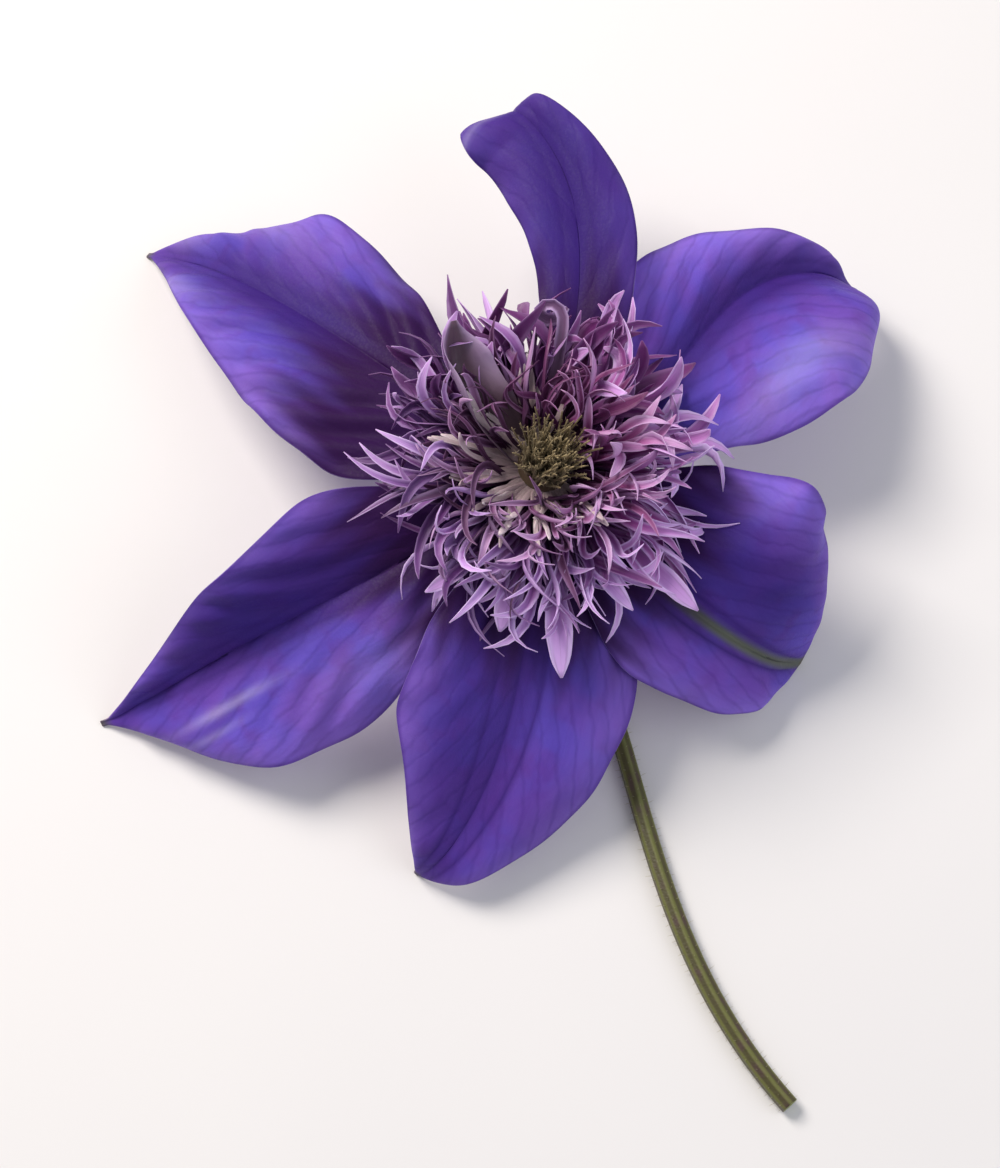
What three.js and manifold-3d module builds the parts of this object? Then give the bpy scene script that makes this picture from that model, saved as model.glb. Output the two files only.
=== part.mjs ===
// A picked clematis bloom, lying face up on a surface with its stalk bent over to one side.
// Millimetres, +Z up, the surface at z = 0. Six violet tepals and three whorls of narrow staminodes
// stand round the swollen top of the stalk.
import * as THREE from "three";
import Module from "manifold-3d";

const wasm = await Module();
wasm.setup();

// ---- Driving dimensions ----
const SEAT = new THREE.Vector3(4.7, 11.2, 17); // middle of the receptacle, where the tepals sit
const LEAN = THREE.MathUtils.degToRad(10); // how far the bloom's axis leans from upright
const LEAN_TOWARDS = THREE.MathUtils.degToRad(-47); // and the way it leans, round from +X
const GAP = 0.3; // between pieces that grow from one another

const RECEPTACLE_RADIUS = 4.2;
const PEG_RADIUS = 1.9; // of the receptacle's middle, which carries the staminodes
const PEG_TOP = 4.8;
// [radius, height] down the receptacle: its peg, its disc, and its waist into the stalk.
const RECEPTACLE = [
  [PEG_RADIUS - 0.4, PEG_TOP], [PEG_RADIUS, PEG_TOP - 0.4], [PEG_RADIUS, 1.1],
  [RECEPTACLE_RADIUS - 0.3, 1.1], [RECEPTACLE_RADIUS, 0.8], [RECEPTACLE_RADIUS, -0.8],
  [3.2, -1.2], [2, -1.4], [1.4, -1.55],
];

const STALK_RADIUS = 1.05;
const STALK_NECK = 0.25; // how much thicker the stalk is at the top
const STALK_RIB = 0.1; // depth of the grooves between its ribs
const STALK_SIDES = 12;
const STALK_STEPS = 34;
const STALK_DROP = 12; // how far it runs straight out of the bloom before it bends
// [x, y] from the seat: the pull of the bend, where the stalk meets the surface, two pulls and its end.
const STALK_ON_SURFACE = [[2, -5], [7, -18], [12, -31], [13, -50], [27, -66]];

const TEPAL_THICKNESS = 0.7;
const TEPAL_BASE_HALF_WIDTH = 1.9;
const TEPAL_TIP_HALF_WIDTH = 0.3;
const TEPAL_ROOT_RADIUS = RECEPTACLE_RADIUS + GAP; // from the bloom's axis to each tepal's base
const TEPAL_STEPS = { along: 20, across: 10 };
const MIDRIB_STEPS = 80; // the fine steps that a midrib bends in, a whole number to each step along
const WAVE_LAG = 2.3; // how far one margin's waves run behind the other's, in radians

// Angles in degrees. heading: round the axis, from +X. Each pair is for the right and then the left
// side. widths and widest: how far the side stands out from the midrib, and the share of the length
// where. claw: how slowly it widens out of the base. point: how fast it narrows to the tip. level:
// height of the root. rise and fall: slope at the base and at the tip. curl: what the part between
// the two shares of curlOver turns down, over a crease that lies skew from square across. bend:
// sideways sweep. twist: roll at the tip. fold: how deep the V along the midrib is. roll: how far
// the margins turn down. A tepal that rests turns about its base until it touches the surface. One
// that doesn't is turned by droop.
const TEPALS = [
  { name: "tepal_1", heading: 75.6, length: 48, widths: [6.3, 7.6], widest: [0.44, 0.85],
    claw: [0.85, 1.6], point: 1.05, level: 0.5, rise: 8, fall: -6, curl: 155, curlOver: [0.78, 0.96],
    skew: 17, bend: 61, twist: -20, fold: 0.2, roll: 0.3, waves: 2.2, phase: 0.6, wave: 0.7, droop: 4 },
  { name: "tepal_2", heading: 141.5, length: 56.7, widths: [11.5, 14], widest: [0.51, 0.27],
    claw: [2.1, 1.2], point: 1.15, level: -0.5, rise: 12, fall: 17.5, curl: 17.5, curlOver: [0.56, 1],
    skew: 0, bend: 2.6, twist: 6.5, fold: 0.32, roll: 0.3, waves: 2.6, phase: 2.1, wave: 2, rests: true },
  { name: "tepal_3", heading: 213.5, length: 53.4, widths: [11.3, 13.4], widest: [0.37, 0.53],
    claw: [1.3, 1.8], point: 1.22, level: -0.5, rise: 14, fall: 23, curl: 6, curlOver: [0.56, 1],
    skew: 0, bend: -3, twist: -19, fold: 0.5, roll: 0.34, waves: 2.3, phase: 4, wave: 1.6, rests: true },
  { name: "tepal_4", heading: 267.4, length: 45, widths: [12, 12.8], widest: [0.47, 0.39],
    claw: [0.92, 1], point: 0.97, level: -0.5, rise: 12, fall: 14.7, curl: 60, curlOver: [0.8, 1],
    skew: 0, bend: -29, twist: -1, fold: 0.24, roll: 0.3, waves: 2.4, phase: 0.3, wave: 1.3, rests: true },
  { name: "tepal_5", heading: 318, length: 38, widths: [9.4, 18.2], widest: [0.46, 0.55],
    claw: [1.1, 0.7], point: 0.72, level: 0.5, rise: 5, fall: 12.6, curl: 60, curlOver: [0.4, 1],
    skew: 0, bend: 18, twist: 15, fold: 0.24, roll: 0.26, waves: 2.5, phase: 5.5, wave: 1.3, rests: true },
  { name: "tepal_6", heading: 38, length: 49.8, widths: [12.5, 13.6], widest: [0.58, 0.43],
    claw: [0.9, 1.2], point: 1.3, level: -0.5, rise: 12, fall: 18, curl: 56, curlOver: [0.7, 1],
    skew: 0, bend: -12.7, twist: -2, fold: 0.46, roll: 0.36, waves: 2.4, phase: 3.1, wave: 1.5, rests: true },
];

// Each whorl is a low ring or cap with narrow blades standing out of it. lean and toLean: the
// blades' angle from the axis, first and last. bow: how much a blade turns towards the axis.
const RING_BORE = PEG_RADIUS + GAP;
const WHORLS = [
  { name: "outer_staminodes", colour: 0x8a5a92, count: 84, lean: 83, toLean: 56, length: 16.1,
    toLength: 15, halfWidth: 0.85, bow: -16, toBow: 6, rootRadius: [4.6, 3.7], rootHeight: [2.2, 2.6],
    profile: [[RING_BORE, 1.4], [4.6, 1.4], [5.7, 2], [5.4, 2.7], [4.2, 2.9], [RING_BORE, 2.9]] },
  { name: "inner_staminodes", colour: 0x7c5570, count: 54, lean: 50, toLean: 33, length: 13.4,
    toLength: 11.3, halfWidth: 0.75, bow: 10, toBow: 26, rootRadius: [3.4, 2.8], rootHeight: [4, 4.4],
    profile: [[RING_BORE, 3.4], [4, 3.4], [4.6, 3.9], [4.1, 4.5], [3.4, 4.8], [RING_BORE, 4.8]] },
  { name: "pistil_tuft", colour: 0x55502c, count: 26, lean: 15, toLean: 2, length: 8.4,
    toLength: 7, halfWidth: 0.6, bow: 4, toBow: 6, rootRadius: [1.8, 0.2], rootHeight: [5.6, 6],
    profile: [[0, 5.1], [2.5, 5.1], [2.9, 5.5], [2.4, 6.2], [1.4, 6.7], [0, 6.9]] },
];
const RING_SIDES = 24;
const BLADE_THICKNESS = 0.64;
const BLADE_TIP_THINNING = 0.85;
const BLADE_OUTLINE = [[0, 0.5], [0.3, 0.62], [0.62, 1], [0.86, 0.62]]; // [share of length, of width]
const GOLDEN_ANGLE = Math.PI * (3 - Math.sqrt(5));
// How much each trait varies from blade to blade, and the step that scatters it. Length and width
// vary as shares, and the rest in degrees.
const BLADE_VARIES = {
  lean: [3, 0.7548], length: [0.26, 0.5698], width: [0.4, 0.4656],
  bow: [10, 0.3247], sweep: [26, 0.8191], twist: [44, 0.6823],
};

const deg = THREE.MathUtils.degToRad;

// What blade i adds to the named trait: it looks random and never changes.
function vary(i, trait) {
  const [spread, step] = BLADE_VARIES[trait];
  return spread * (((i * step) % 1) - 0.5);
}

// ---- Solids ----

// A closed geometry from rings of points, each ring listed anticlockwise seen from ahead, joined
// ring to ring and capped at both ends.
function skin(rings) {
  const sides = rings[0].length;
  const positions = rings.flat().flatMap((p) => p.toArray());
  const index = [];
  for (let r = 0; r < rings.length - 1; r++) {
    for (let k = 0; k < sides; k++) {
      const a = r * sides + k;
      const b = r * sides + ((k + 1) % sides);
      index.push(a, b, b + sides, a, b + sides, a + sides);
    }
  }
  const last = (rings.length - 1) * sides;
  for (let k = 1; k < sides - 1; k++) {
    index.push(0, k + 1, k);
    index.push(last, last + k, last + k + 1);
  }
  const geometry = new THREE.BufferGeometry();
  geometry.setAttribute("position", new THREE.Float32BufferAttribute(positions, 3));
  geometry.setIndex(index);
  return geometry;
}

// Joins closed geometries into one body, with any sealed hollow filled and loose scraps dropped.
function fused(geometries) {
  const solids = geometries.map((geometry) => {
    const vertProperties = new Float32Array(geometry.getAttribute("position").array);
    const triVerts = new Uint32Array(geometry.index.array);
    return new wasm.Manifold(new wasm.Mesh({ numProp: 3, vertProperties, triVerts }));
  });
  const bodies = wasm.Manifold.union(solids).decompose();
  const body = bodies.reduce((best, next) => (next.volume() > best.volume() ? next : best));
  const mesh = body.getMesh();
  const geometry = new THREE.BufferGeometry();
  geometry.setAttribute("position", new THREE.BufferAttribute(mesh.vertProperties, 3));
  geometry.setIndex(new THREE.BufferAttribute(mesh.triVerts, 1));
  return geometry;
}

// A closed ring or cap turned round the axis from [radius, height] points, given outside up.
function turned(profile, sides) {
  const onAxis = profile[0][0] === 0;
  const points = onAxis ? profile.slice(1, -1) : profile;
  const positions = [];
  for (const [radius, height] of points) {
    for (let k = 0; k < sides; k++) {
      const angle = (2 * Math.PI * k) / sides;
      positions.push(radius * Math.cos(angle), radius * Math.sin(angle), height);
    }
  }
  const index = [];
  const strips = onAxis ? points.length - 1 : points.length;
  for (let r = 0; r < strips; r++) {
    const next = (r + 1) % points.length;
    for (let k = 0; k < sides; k++) {
      const turn = (k + 1) % sides;
      const [a, b] = [r * sides + k, r * sides + turn];
      const [c, d] = [next * sides + turn, next * sides + k];
      index.push(a, b, c, a, c, d);
    }
  }
  if (onAxis) {
    const bottom = positions.length / 3;
    positions.push(0, 0, profile[0][1], 0, 0, profile.at(-1)[1]);
    const top = (points.length - 1) * sides;
    for (let k = 0; k < sides; k++) {
      const turn = (k + 1) % sides;
      index.push(bottom, turn, k, bottom + 1, top + k, top + turn);
    }
  }
  const geometry = new THREE.BufferGeometry();
  geometry.setAttribute("position", new THREE.Float32BufferAttribute(positions, 3));
  geometry.setIndex(index);
  return geometry;
}

// ---- Tepals ----

// The tepal's width from its midrib at share s of its length, on the side that t lies: a narrow
// claw, a broad blade and a pointed tip.
function tepalHalfWidth(tepal, s, t) {
  const side = t > 0 ? 1 : 0;
  const widest = tepal.widest[side];
  const width = tepal.widths[side];
  if (s < widest) {
    const swell = Math.sin((Math.PI / 2) * (s / widest)) ** tepal.claw[side];
    return TEPAL_BASE_HALF_WIDTH + (width - TEPAL_BASE_HALF_WIDTH) * swell;
  }
  const taper = Math.cos((Math.PI / 2) * ((s - widest) / (1 - widest))) ** tepal.point;
  return Math.max(TEPAL_TIP_HALF_WIDTH, width * taper);
}

// The tepal's midrib, as points with their frames, from the base at the origin out along +X. Each
// fine step turns the frame about its own axes: ahead, side (to the left) and up.
function midrib(tepal, steps) {
  const angles = (s) => {
    const curl = tepal.curl * THREE.MathUtils.smoothstep(s, ...tepal.curlOver);
    const twist = tepal.twist * THREE.MathUtils.smoothstep(s, 0.12, 0.5);
    return {
      slope: deg(tepal.rise * (1 - s) - tepal.fall * s - curl * Math.cos(deg(tepal.skew))),
      sweep: deg(tepal.bend * s * s * 1.5),
      roll: deg(twist + curl * Math.sin(deg(tepal.skew))),
    };
  };
  const turn = (slope, sweep, roll) =>
    new THREE.Quaternion().setFromEuler(new THREE.Euler(roll, -slope, sweep, "XYZ"));
  const stations = [];
  const at = new THREE.Vector3();
  const frame = turn(angles(0).slope, 0, 0);
  for (let i = 0; i <= MIDRIB_STEPS; i++) {
    const s = i / MIDRIB_STEPS;
    const ahead = new THREE.Vector3(1, 0, 0).applyQuaternion(frame);
    if (i % (MIDRIB_STEPS / steps) === 0) {
      const side = new THREE.Vector3(0, 1, 0).applyQuaternion(frame);
      const up = new THREE.Vector3(0, 0, 1).applyQuaternion(frame);
      stations.push({ s, at: at.clone(), side, up });
    }
    const [here, next] = [angles(s), angles(s + 1 / MIDRIB_STEPS)];
    frame.multiply(turn(next.slope - here.slope, next.sweep - here.sweep, next.roll - here.roll));
    at.addScaledVector(ahead, tepal.length / MIDRIB_STEPS);
  }
  return stations;
}

// The point of the tepal's middle surface at one midrib station, t from -1 to 1 across it.
function tepalPoint(tepal, station, t) {
  const { s, at, side, up } = station;
  const half = tepalHalfWidth(tepal, s, t);
  const open = THREE.MathUtils.smoothstep(s, 0.12, 0.6);
  const reach = Math.abs(t);
  const fold = tepal.fold * reach ** 1.4 - tepal.roll * t ** 4;
  const beat = 2 * Math.PI * tepal.waves * s + tepal.phase + (t > 0 ? 0 : WAVE_LAG);
  const wave = tepal.wave * Math.sin(Math.PI * s) * reach ** 3 * Math.sin(beat);
  return at.clone()
    .addScaledVector(side, half * t)
    .addScaledVector(up, (half * fold + wave) * open);
}

// The tepal as a thin closed blade, split into triangles alike on both faces.
function tepalGeometry(tepal) {
  const { along, across } = TEPAL_STEPS;
  const middle = midrib(tepal, along).map((station) =>
    Array.from({ length: across + 1 }, (_, j) => tepalPoint(tepal, station, (2 * j) / across - 1)));
  const normal = (i, j) => {
    const ahead = middle[Math.min(i + 1, along)][j].clone().sub(middle[Math.max(i - 1, 0)][j]);
    const side = middle[i][Math.min(j + 1, across)].clone().sub(middle[i][Math.max(j - 1, 0)]);
    return ahead.cross(side).normalize();
  };
  const rings = middle.map((row, i) => {
    const under = row.map((p, j) => p.clone().addScaledVector(normal(i, j), -TEPAL_THICKNESS / 2));
    const over = row.map((p, j) => p.clone().addScaledVector(normal(i, j), TEPAL_THICKNESS / 2));
    return [...under, ...over.reverse()];
  });
  const sides = 2 * (across + 1);
  const index = [];
  const quad = (a, b, c, d) => index.push(a, b, c, a, c, d);
  for (let i = 0; i < along; i++) {
    const row = i * sides;
    for (let j = 0; j < across; j++) {
      const over = sides - 1 - j;
      index.push(row + j, row + sides + j + 1, row + sides + j);
      index.push(row + j, row + j + 1, row + sides + j + 1);
      index.push(row + over, row + sides + over, row + sides + over - 1);
      index.push(row + over, row + sides + over - 1, row + over - 1);
    }
    quad(row + across, row + across + 1, row + sides + across + 1, row + sides + across);
    quad(row + sides - 1, row, row + sides, row + 2 * sides - 1);
  }
  const end = along * sides;
  for (let j = 0; j < across; j++) {
    quad(j, sides - 1 - j, sides - 2 - j, j + 1);
    quad(end + j, end + j + 1, end + sides - 2 - j, end + sides - 1 - j);
  }
  const geometry = new THREE.BufferGeometry();
  const positions = rings.flat().flatMap((p) => p.toArray());
  geometry.setAttribute("position", new THREE.Float32BufferAttribute(positions, 3));
  geometry.setIndex(index);
  return geometry;
}

// Turns a tepal down about its base until its lowest point touches the surface.
function restOnSurface(mesh) {
  const box = new THREE.Box3();
  let [low, high] = [deg(-30), deg(60)];
  for (let i = 0; i < 40; i++) {
    mesh.rotation.y = (low + high) / 2;
    mesh.updateWorldMatrix(true, false);
    box.setFromBufferAttribute(
      mesh.geometry.getAttribute("position").clone().applyMatrix4(mesh.matrixWorld));
    if (box.min.z < 0) high = mesh.rotation.y;
    else low = mesh.rotation.y;
  }
  mesh.rotation.y = low;
}

// ---- Staminodes and pistils ----

// One narrow pointed blade, flat underneath and keeled on top, from its sunk root out along +X.
function bladeGeometry(length, halfWidth, bow, sweep) {
  const middle = (s) => new THREE.Vector3(
    length * (s - (deg(bow) ** 2 * s ** 3) / 6),
    (length * deg(sweep) * s * s) / 2,
    (length * deg(bow) * s * s) / 2);
  const rings = BLADE_OUTLINE.map(([s, width], i) => {
    const half = halfWidth * width;
    const thick = BLADE_THICKNESS * (i === BLADE_OUTLINE.length - 1 ? BLADE_TIP_THINNING : 1);
    const around = [[-half, -thick / 3], [half, -thick / 3], [0, (2 * thick) / 3]];
    return around.map(([across, up]) => middle(s).add(new THREE.Vector3(0, across, up)));
  });
  const positions = [...rings.flat(), middle(1)].flatMap((p) => p.toArray());
  const index = [0, 2, 1];
  for (let r = 0; r < rings.length - 1; r++) {
    for (let k = 0; k < 3; k++) {
      const a = r * 3 + k;
      const b = r * 3 + ((k + 1) % 3);
      index.push(a, b, b + 3, a, b + 3, a + 3);
    }
  }
  const tip = rings.length * 3;
  for (let k = 0; k < 3; k++) index.push(tip - 3 + k, tip - 3 + ((k + 1) % 3), tip);
  const geometry = new THREE.BufferGeometry();
  geometry.setAttribute("position", new THREE.Float32BufferAttribute(positions, 3));
  geometry.setIndex(index);
  return geometry;
}

// A whorl: its ring or cap, and its blades in a spiral from the outermost in, each a golden angle
// on from the last.
function whorlGeometry(whorl) {
  const mix = THREE.MathUtils.lerp;
  const pieces = [turned(whorl.profile, RING_SIDES)];
  for (let i = 0; i < whorl.count; i++) {
    const inward = (i + 0.5) / whorl.count;
    const around = i * GOLDEN_ANGLE;
    const lean = deg(mix(whorl.lean, whorl.toLean, inward) + vary(i, "lean"));
    const length = mix(whorl.length, whorl.toLength, inward) * (1 + vary(i, "length"));
    const bow = mix(whorl.bow, whorl.toBow, inward) + vary(i, "bow");
    const twist = deg(vary(i, "twist"));
    const halfWidth = whorl.halfWidth * (1 + vary(i, "width"));
    const ahead = new THREE.Vector3(
      Math.sin(lean) * Math.cos(around), Math.sin(lean) * Math.sin(around), Math.cos(lean));
    const side = new THREE.Vector3(-Math.sin(around), Math.cos(around), 0);
    side.applyAxisAngle(ahead, twist);
    const up = new THREE.Vector3().crossVectors(ahead, side);
    const radius = mix(...whorl.rootRadius, inward);
    const place = new THREE.Matrix4().makeBasis(ahead, side, up);
    place.setPosition(
      radius * Math.cos(around), radius * Math.sin(around), mix(...whorl.rootHeight, inward));
    pieces.push(bladeGeometry(length, halfWidth, bow, vary(i, "sweep")).applyMatrix4(place));
  }
  return fused(pieces);
}

// ---- Stalk ----

// The stalk's middle line: straight down out of the bloom, round a bend, and along the surface.
function stalkRoute(axis) {
  const top = SEAT.clone().addScaledVector(axis, RECEPTACLE.at(-1)[1] - 0.05);
  const drop = top.clone().addScaledVector(axis, -STALK_DROP);
  const [bend, landing, ...rest] = STALK_ON_SURFACE.map(([x, y]) =>
    new THREE.Vector3(SEAT.x + x, SEAT.y + y, STALK_RADIUS));
  const route = new THREE.CurvePath();
  route.add(new THREE.CubicBezierCurve3(top, drop, bend, landing));
  route.add(new THREE.CubicBezierCurve3(landing, ...rest));
  return route;
}

// The stalk with its ribs, and the receptacle and peg that it swells into, as one skin.
function stalkGeometry(axis) {
  const rings = [];
  const ring = (at, u, v, radius, rib) => {
    const points = [];
    for (let k = 0; k < STALK_SIDES; k++) {
      const angle = (2 * Math.PI * k) / STALK_SIDES;
      const reach = radius - (k % 2 ? rib : 0);
      points.push(at.clone()
        .addScaledVector(u, reach * Math.cos(angle)).addScaledVector(v, reach * Math.sin(angle)));
    }
    rings.push(points);
  };
  const route = stalkRoute(axis);
  const { normals, binormals } = route.computeFrenetFrames(STALK_STEPS);
  for (const [radius, height] of RECEPTACLE) {
    ring(SEAT.clone().addScaledVector(axis, height), normals[0], binormals[0], radius, 0);
  }
  for (let i = 0; i <= STALK_STEPS; i++) {
    const radius = STALK_RADIUS + STALK_NECK * Math.exp(-i / 3);
    ring(route.getPointAt(i / STALK_STEPS), normals[i], binormals[i], radius, STALK_RIB);
  }
  return skin(rings);
}

// ---- The bloom ----
const flower = new THREE.Group();
const bloom = new THREE.Group();
const leanAxis = new THREE.Vector3(-Math.sin(LEAN_TOWARDS), Math.cos(LEAN_TOWARDS), 0);
bloom.position.copy(SEAT);
bloom.quaternion.setFromAxisAngle(leanAxis, LEAN);
flower.add(bloom);

const tepalColour = new THREE.MeshStandardMaterial({ color: 0x55379f, roughness: 0.6, metalness: 0 });
for (const tepal of TEPALS) {
  const mesh = new THREE.Mesh(tepalGeometry(tepal), tepalColour.clone());
  const heading = deg(tepal.heading);
  mesh.name = tepal.name;
  mesh.position.set(
    TEPAL_ROOT_RADIUS * Math.cos(heading), TEPAL_ROOT_RADIUS * Math.sin(heading), tepal.level);
  mesh.rotation.set(0, deg(tepal.droop ?? 0), heading, "ZYX");
  bloom.add(mesh);
  if (tepal.rests) restOnSurface(mesh);
}

for (const whorl of WHORLS) {
  const material = new THREE.MeshStandardMaterial({ color: whorl.colour, roughness: 0.7, metalness: 0 });
  const mesh = new THREE.Mesh(whorlGeometry(whorl), material);
  mesh.name = whorl.name;
  bloom.add(mesh);
}

const axis = new THREE.Vector3(0, 0, 1).applyAxisAngle(leanAxis, LEAN);
const stalk = new THREE.Mesh(
  stalkGeometry(axis),
  new THREE.MeshStandardMaterial({ color: 0x4a4a26, roughness: 0.65, metalness: 0 }));
stalk.name = "stalk";
flower.add(stalk);

export default flower;
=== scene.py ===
"""A picked clematis bloom, lying face up: six violet tepals, a mauve tuft of staminodes and its stalk.

Lengths are in millimetres and angles in degrees up to the moment that a mesh is made, in metres.
The bloom has a frame of its own, whose origin is the middle of the receptacle and whose +Z is the
bloom's axis. BLOOM takes it to the frame of the whole part.
"""

import logging
import math
from dataclasses import dataclass, field
from enum import Enum
from typing import Any

import bpy
import numpy as np
from mathutils import Matrix, Vector


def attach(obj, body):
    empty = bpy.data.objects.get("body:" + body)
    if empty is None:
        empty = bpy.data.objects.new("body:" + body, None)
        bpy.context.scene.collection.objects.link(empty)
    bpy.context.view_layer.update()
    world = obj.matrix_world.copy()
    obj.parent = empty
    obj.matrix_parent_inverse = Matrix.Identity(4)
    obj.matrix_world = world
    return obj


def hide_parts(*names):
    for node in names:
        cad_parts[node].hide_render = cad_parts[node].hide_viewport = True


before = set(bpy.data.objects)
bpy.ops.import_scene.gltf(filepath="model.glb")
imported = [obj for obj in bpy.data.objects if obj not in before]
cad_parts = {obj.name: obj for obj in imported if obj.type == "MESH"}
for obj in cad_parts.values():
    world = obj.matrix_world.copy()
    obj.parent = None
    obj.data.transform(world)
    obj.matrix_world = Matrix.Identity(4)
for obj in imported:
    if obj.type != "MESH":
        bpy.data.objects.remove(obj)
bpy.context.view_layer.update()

LOG = logging.getLogger("clematis")

MM = 0.001
GOLDEN_ANGLE = math.degrees(math.pi * (3 - math.sqrt(5)))
BODY = "root"
UP = np.array([0.0, 0.0, 1.0])

SEAT = np.array([4.7, 11.2, 17.0])  # middle of the receptacle, where the tepals sit
LEAN = 10.0  # how far the bloom's axis leans from upright
LEAN_TOWARDS = -47.0  # and the way it leans, round from +X

Faces = list[tuple[int, ...]]
Outline = tuple[tuple[float, float], ...]  # of a turned solid, as (radius, height)


class Slot(Enum):
    """The record's material slots."""

    TEPAL = "tepal"
    OUTER = "outer_staminode"
    INNER = "inner_staminode"
    PISTIL = "pistil"
    STALK = "stalk"


class Cut(Enum):
    """How a blade is cut: its half width, as a share of the widest, at shares of its length."""

    STRAP = ((0, 0.5), (0.3, 0.62), (0.62, 1), (0.86, 0.62), (1, 0.06))
    SPOON = ((0, 0.4), (0.35, 0.46), (0.72, 1), (0.9, 0.74), (1, 0.08))
    THREAD = ((0, 1), (0.5, 0.8), (0.78, 0.75), (0.88, 1.2), (1, 0.3))
    HOOD = ((0, 0.55), (0.25, 0.85), (0.6, 1), (0.86, 0.8), (1, 0.2))


# ---- Numbers and shapes ----


def smoothstep(x: Any, low: float, high: float) -> Any:
    """Rises smoothly from 0 at low to 1 at high.

    Args:
        x: A number or an array.
        low: Where the rise starts.
        high: Where it ends.

    Returns:
        A value from 0 to 1 for each x.
    """
    u = np.clip((x - low) / (high - low), 0, 1)
    return u * u * (3 - 2 * u)


def mix(a: Any, b: Any, share: Any) -> Any:
    """The value that lies at a share of the way from a to b."""
    return a + (b - a) * share


def scatter(i: int, step: float) -> float:
    """A value from -0.5 to 0.5 that looks random from one i to the next and never changes."""
    return (i * step) % 1 - 0.5


def clipped(x: float) -> float:
    """A number kept between 0 and 1."""
    return min(1.0, max(0.0, x))


def varied(i: int, middles: dict[str, float],
           spreads: dict[str, tuple[float, float]]) -> dict[str, float]:
    """The values by which blade number i differs from the others of its kind.

    Args:
        i: The blade's number.
        middles: The middle of each value, 0 where it isn't given.
        spreads: How far each varies in all, and the step of its scatter.

    Returns:
        The values by name.
    """
    return {name: middles.get(name, 0.0) + spread * scatter(i, step)
            for name, (spread, step) in spreads.items()}


def facing(around: float, towards: float) -> float:
    """1 where a heading in degrees points towards another, falling to -1 where it points away."""
    return math.cos(math.radians(around - towards))


def polar(around: float, radius: float = 1.0, height: float = 0.0) -> np.ndarray:
    """The point at an angle in degrees round +Z, a distance from it and a height."""
    angle = math.radians(around)
    return np.array([radius * math.cos(angle), radius * math.sin(angle), height])


def rotation(angle: float, axis: str | Vector) -> np.ndarray:
    """The 3 by 3 matrix of a turn by an angle in degrees about an axis."""
    return np.array(Matrix.Rotation(math.radians(angle), 3, axis))


def unit(vectors: np.ndarray) -> np.ndarray:
    """Vectors, one in each last row, brought to length 1."""
    return vectors / np.maximum(np.linalg.norm(vectors, axis=-1, keepdims=True), 1e-9)


def through(rows: np.ndarray, s: np.ndarray) -> np.ndarray:
    """A smooth curve through evenly spaced rows.

    Args:
        rows: The values to pass through, the first at share 0 and the last at share 1.
        s: The shares to read it at.

    Returns:
        One row for each share.
    """
    last = len(rows) - 1
    x = s * last
    i = np.clip(np.floor(x).astype(int), 0, last - 1)
    f = (x - i)[:, None]
    padded = np.vstack([2 * rows[0] - rows[1], rows, 2 * rows[-1] - rows[-2]])
    a, b, c, d = (padded[i + k] for k in range(4))
    return b + 0.5 * f * (c - a + f * (2 * a - 5 * b + 4 * c - d + f * (3 * (b - c) + d - a)))


BLOOM_TURN = rotation(LEAN, Vector(np.cross(UP, polar(LEAN_TOWARDS))))
BLOOM_AXIS = BLOOM_TURN @ UP


def from_bloom(points: np.ndarray) -> np.ndarray:
    """Points in the bloom's own frame, brought to the frame of the whole part."""
    return points @ BLOOM_TURN.T + SEAT


@dataclass
class Skin:
    """The points, faces and surface values of one mesh, gathered shape by shape."""

    points: list[np.ndarray] = field(default_factory=list)
    faces: Faces = field(default_factory=list)
    values: dict[str, list[np.ndarray]] = field(default_factory=dict)
    count: int = 0

    def add(self, points: np.ndarray, faces: Faces, **values: Any) -> None:
        """Adds one shape.

        Args:
            points: Its points, one in each row.
            faces: Its faces, counted from its own first point.
            values: For each named attribute, three numbers a point, or three for them all.
        """
        self.points.append(points)
        self.faces.extend(tuple(k + self.count for k in face) for face in faces)
        for name, value in values.items():
            rows = np.broadcast_to(np.asarray(value, float), (len(points), 3))
            self.values.setdefault(name, []).append(rows)
        self.count += len(points)

    def to_object(self, name: str, material: bpy.types.Material) -> bpy.types.Object:
        """Makes the piece, smooth shaded and in metres.

        Args:
            name: The piece's name.
            material: Its finish.

        Returns:
            The new object, linked to the scene.
        """
        mesh = bpy.data.meshes.new(name)
        mesh.from_pydata(np.vstack(self.points) * MM, [], self.faces)
        for key, rows in self.values.items():
            attribute = mesh.attributes.new(key, "FLOAT_VECTOR", "POINT")
            attribute.data.foreach_set("vector", np.vstack(rows).astype(np.float32).ravel())
        mesh.polygons.foreach_set("use_smooth", [True] * len(mesh.polygons))
        mesh.materials.append(material)
        mesh.validate()
        piece = bpy.data.objects.new(name, mesh)
        bpy.context.scene.collection.objects.link(piece)
        return piece


def ring_faces(rings: int, sides: int, capped: bool = True) -> Faces:
    """Faces of a skin over closed rings of points.

    Args:
        rings: How many rings there are.
        sides: Points in each, anticlockwise seen from ahead.
        capped: Whether a face closes each end.

    Returns:
        The faces, all facing out.
    """
    faces: Faces = []
    for r in range(rings - 1):
        for k in range(sides):
            a, b = (r * sides + j for j in (k, (k + 1) % sides))
            faces.append((a, b, b + sides, a + sides))
    if capped:
        faces.append(tuple(range(sides - 1, -1, -1)))
        faces.append(tuple(range((rings - 1) * sides, rings * sides)))
    return faces


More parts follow.
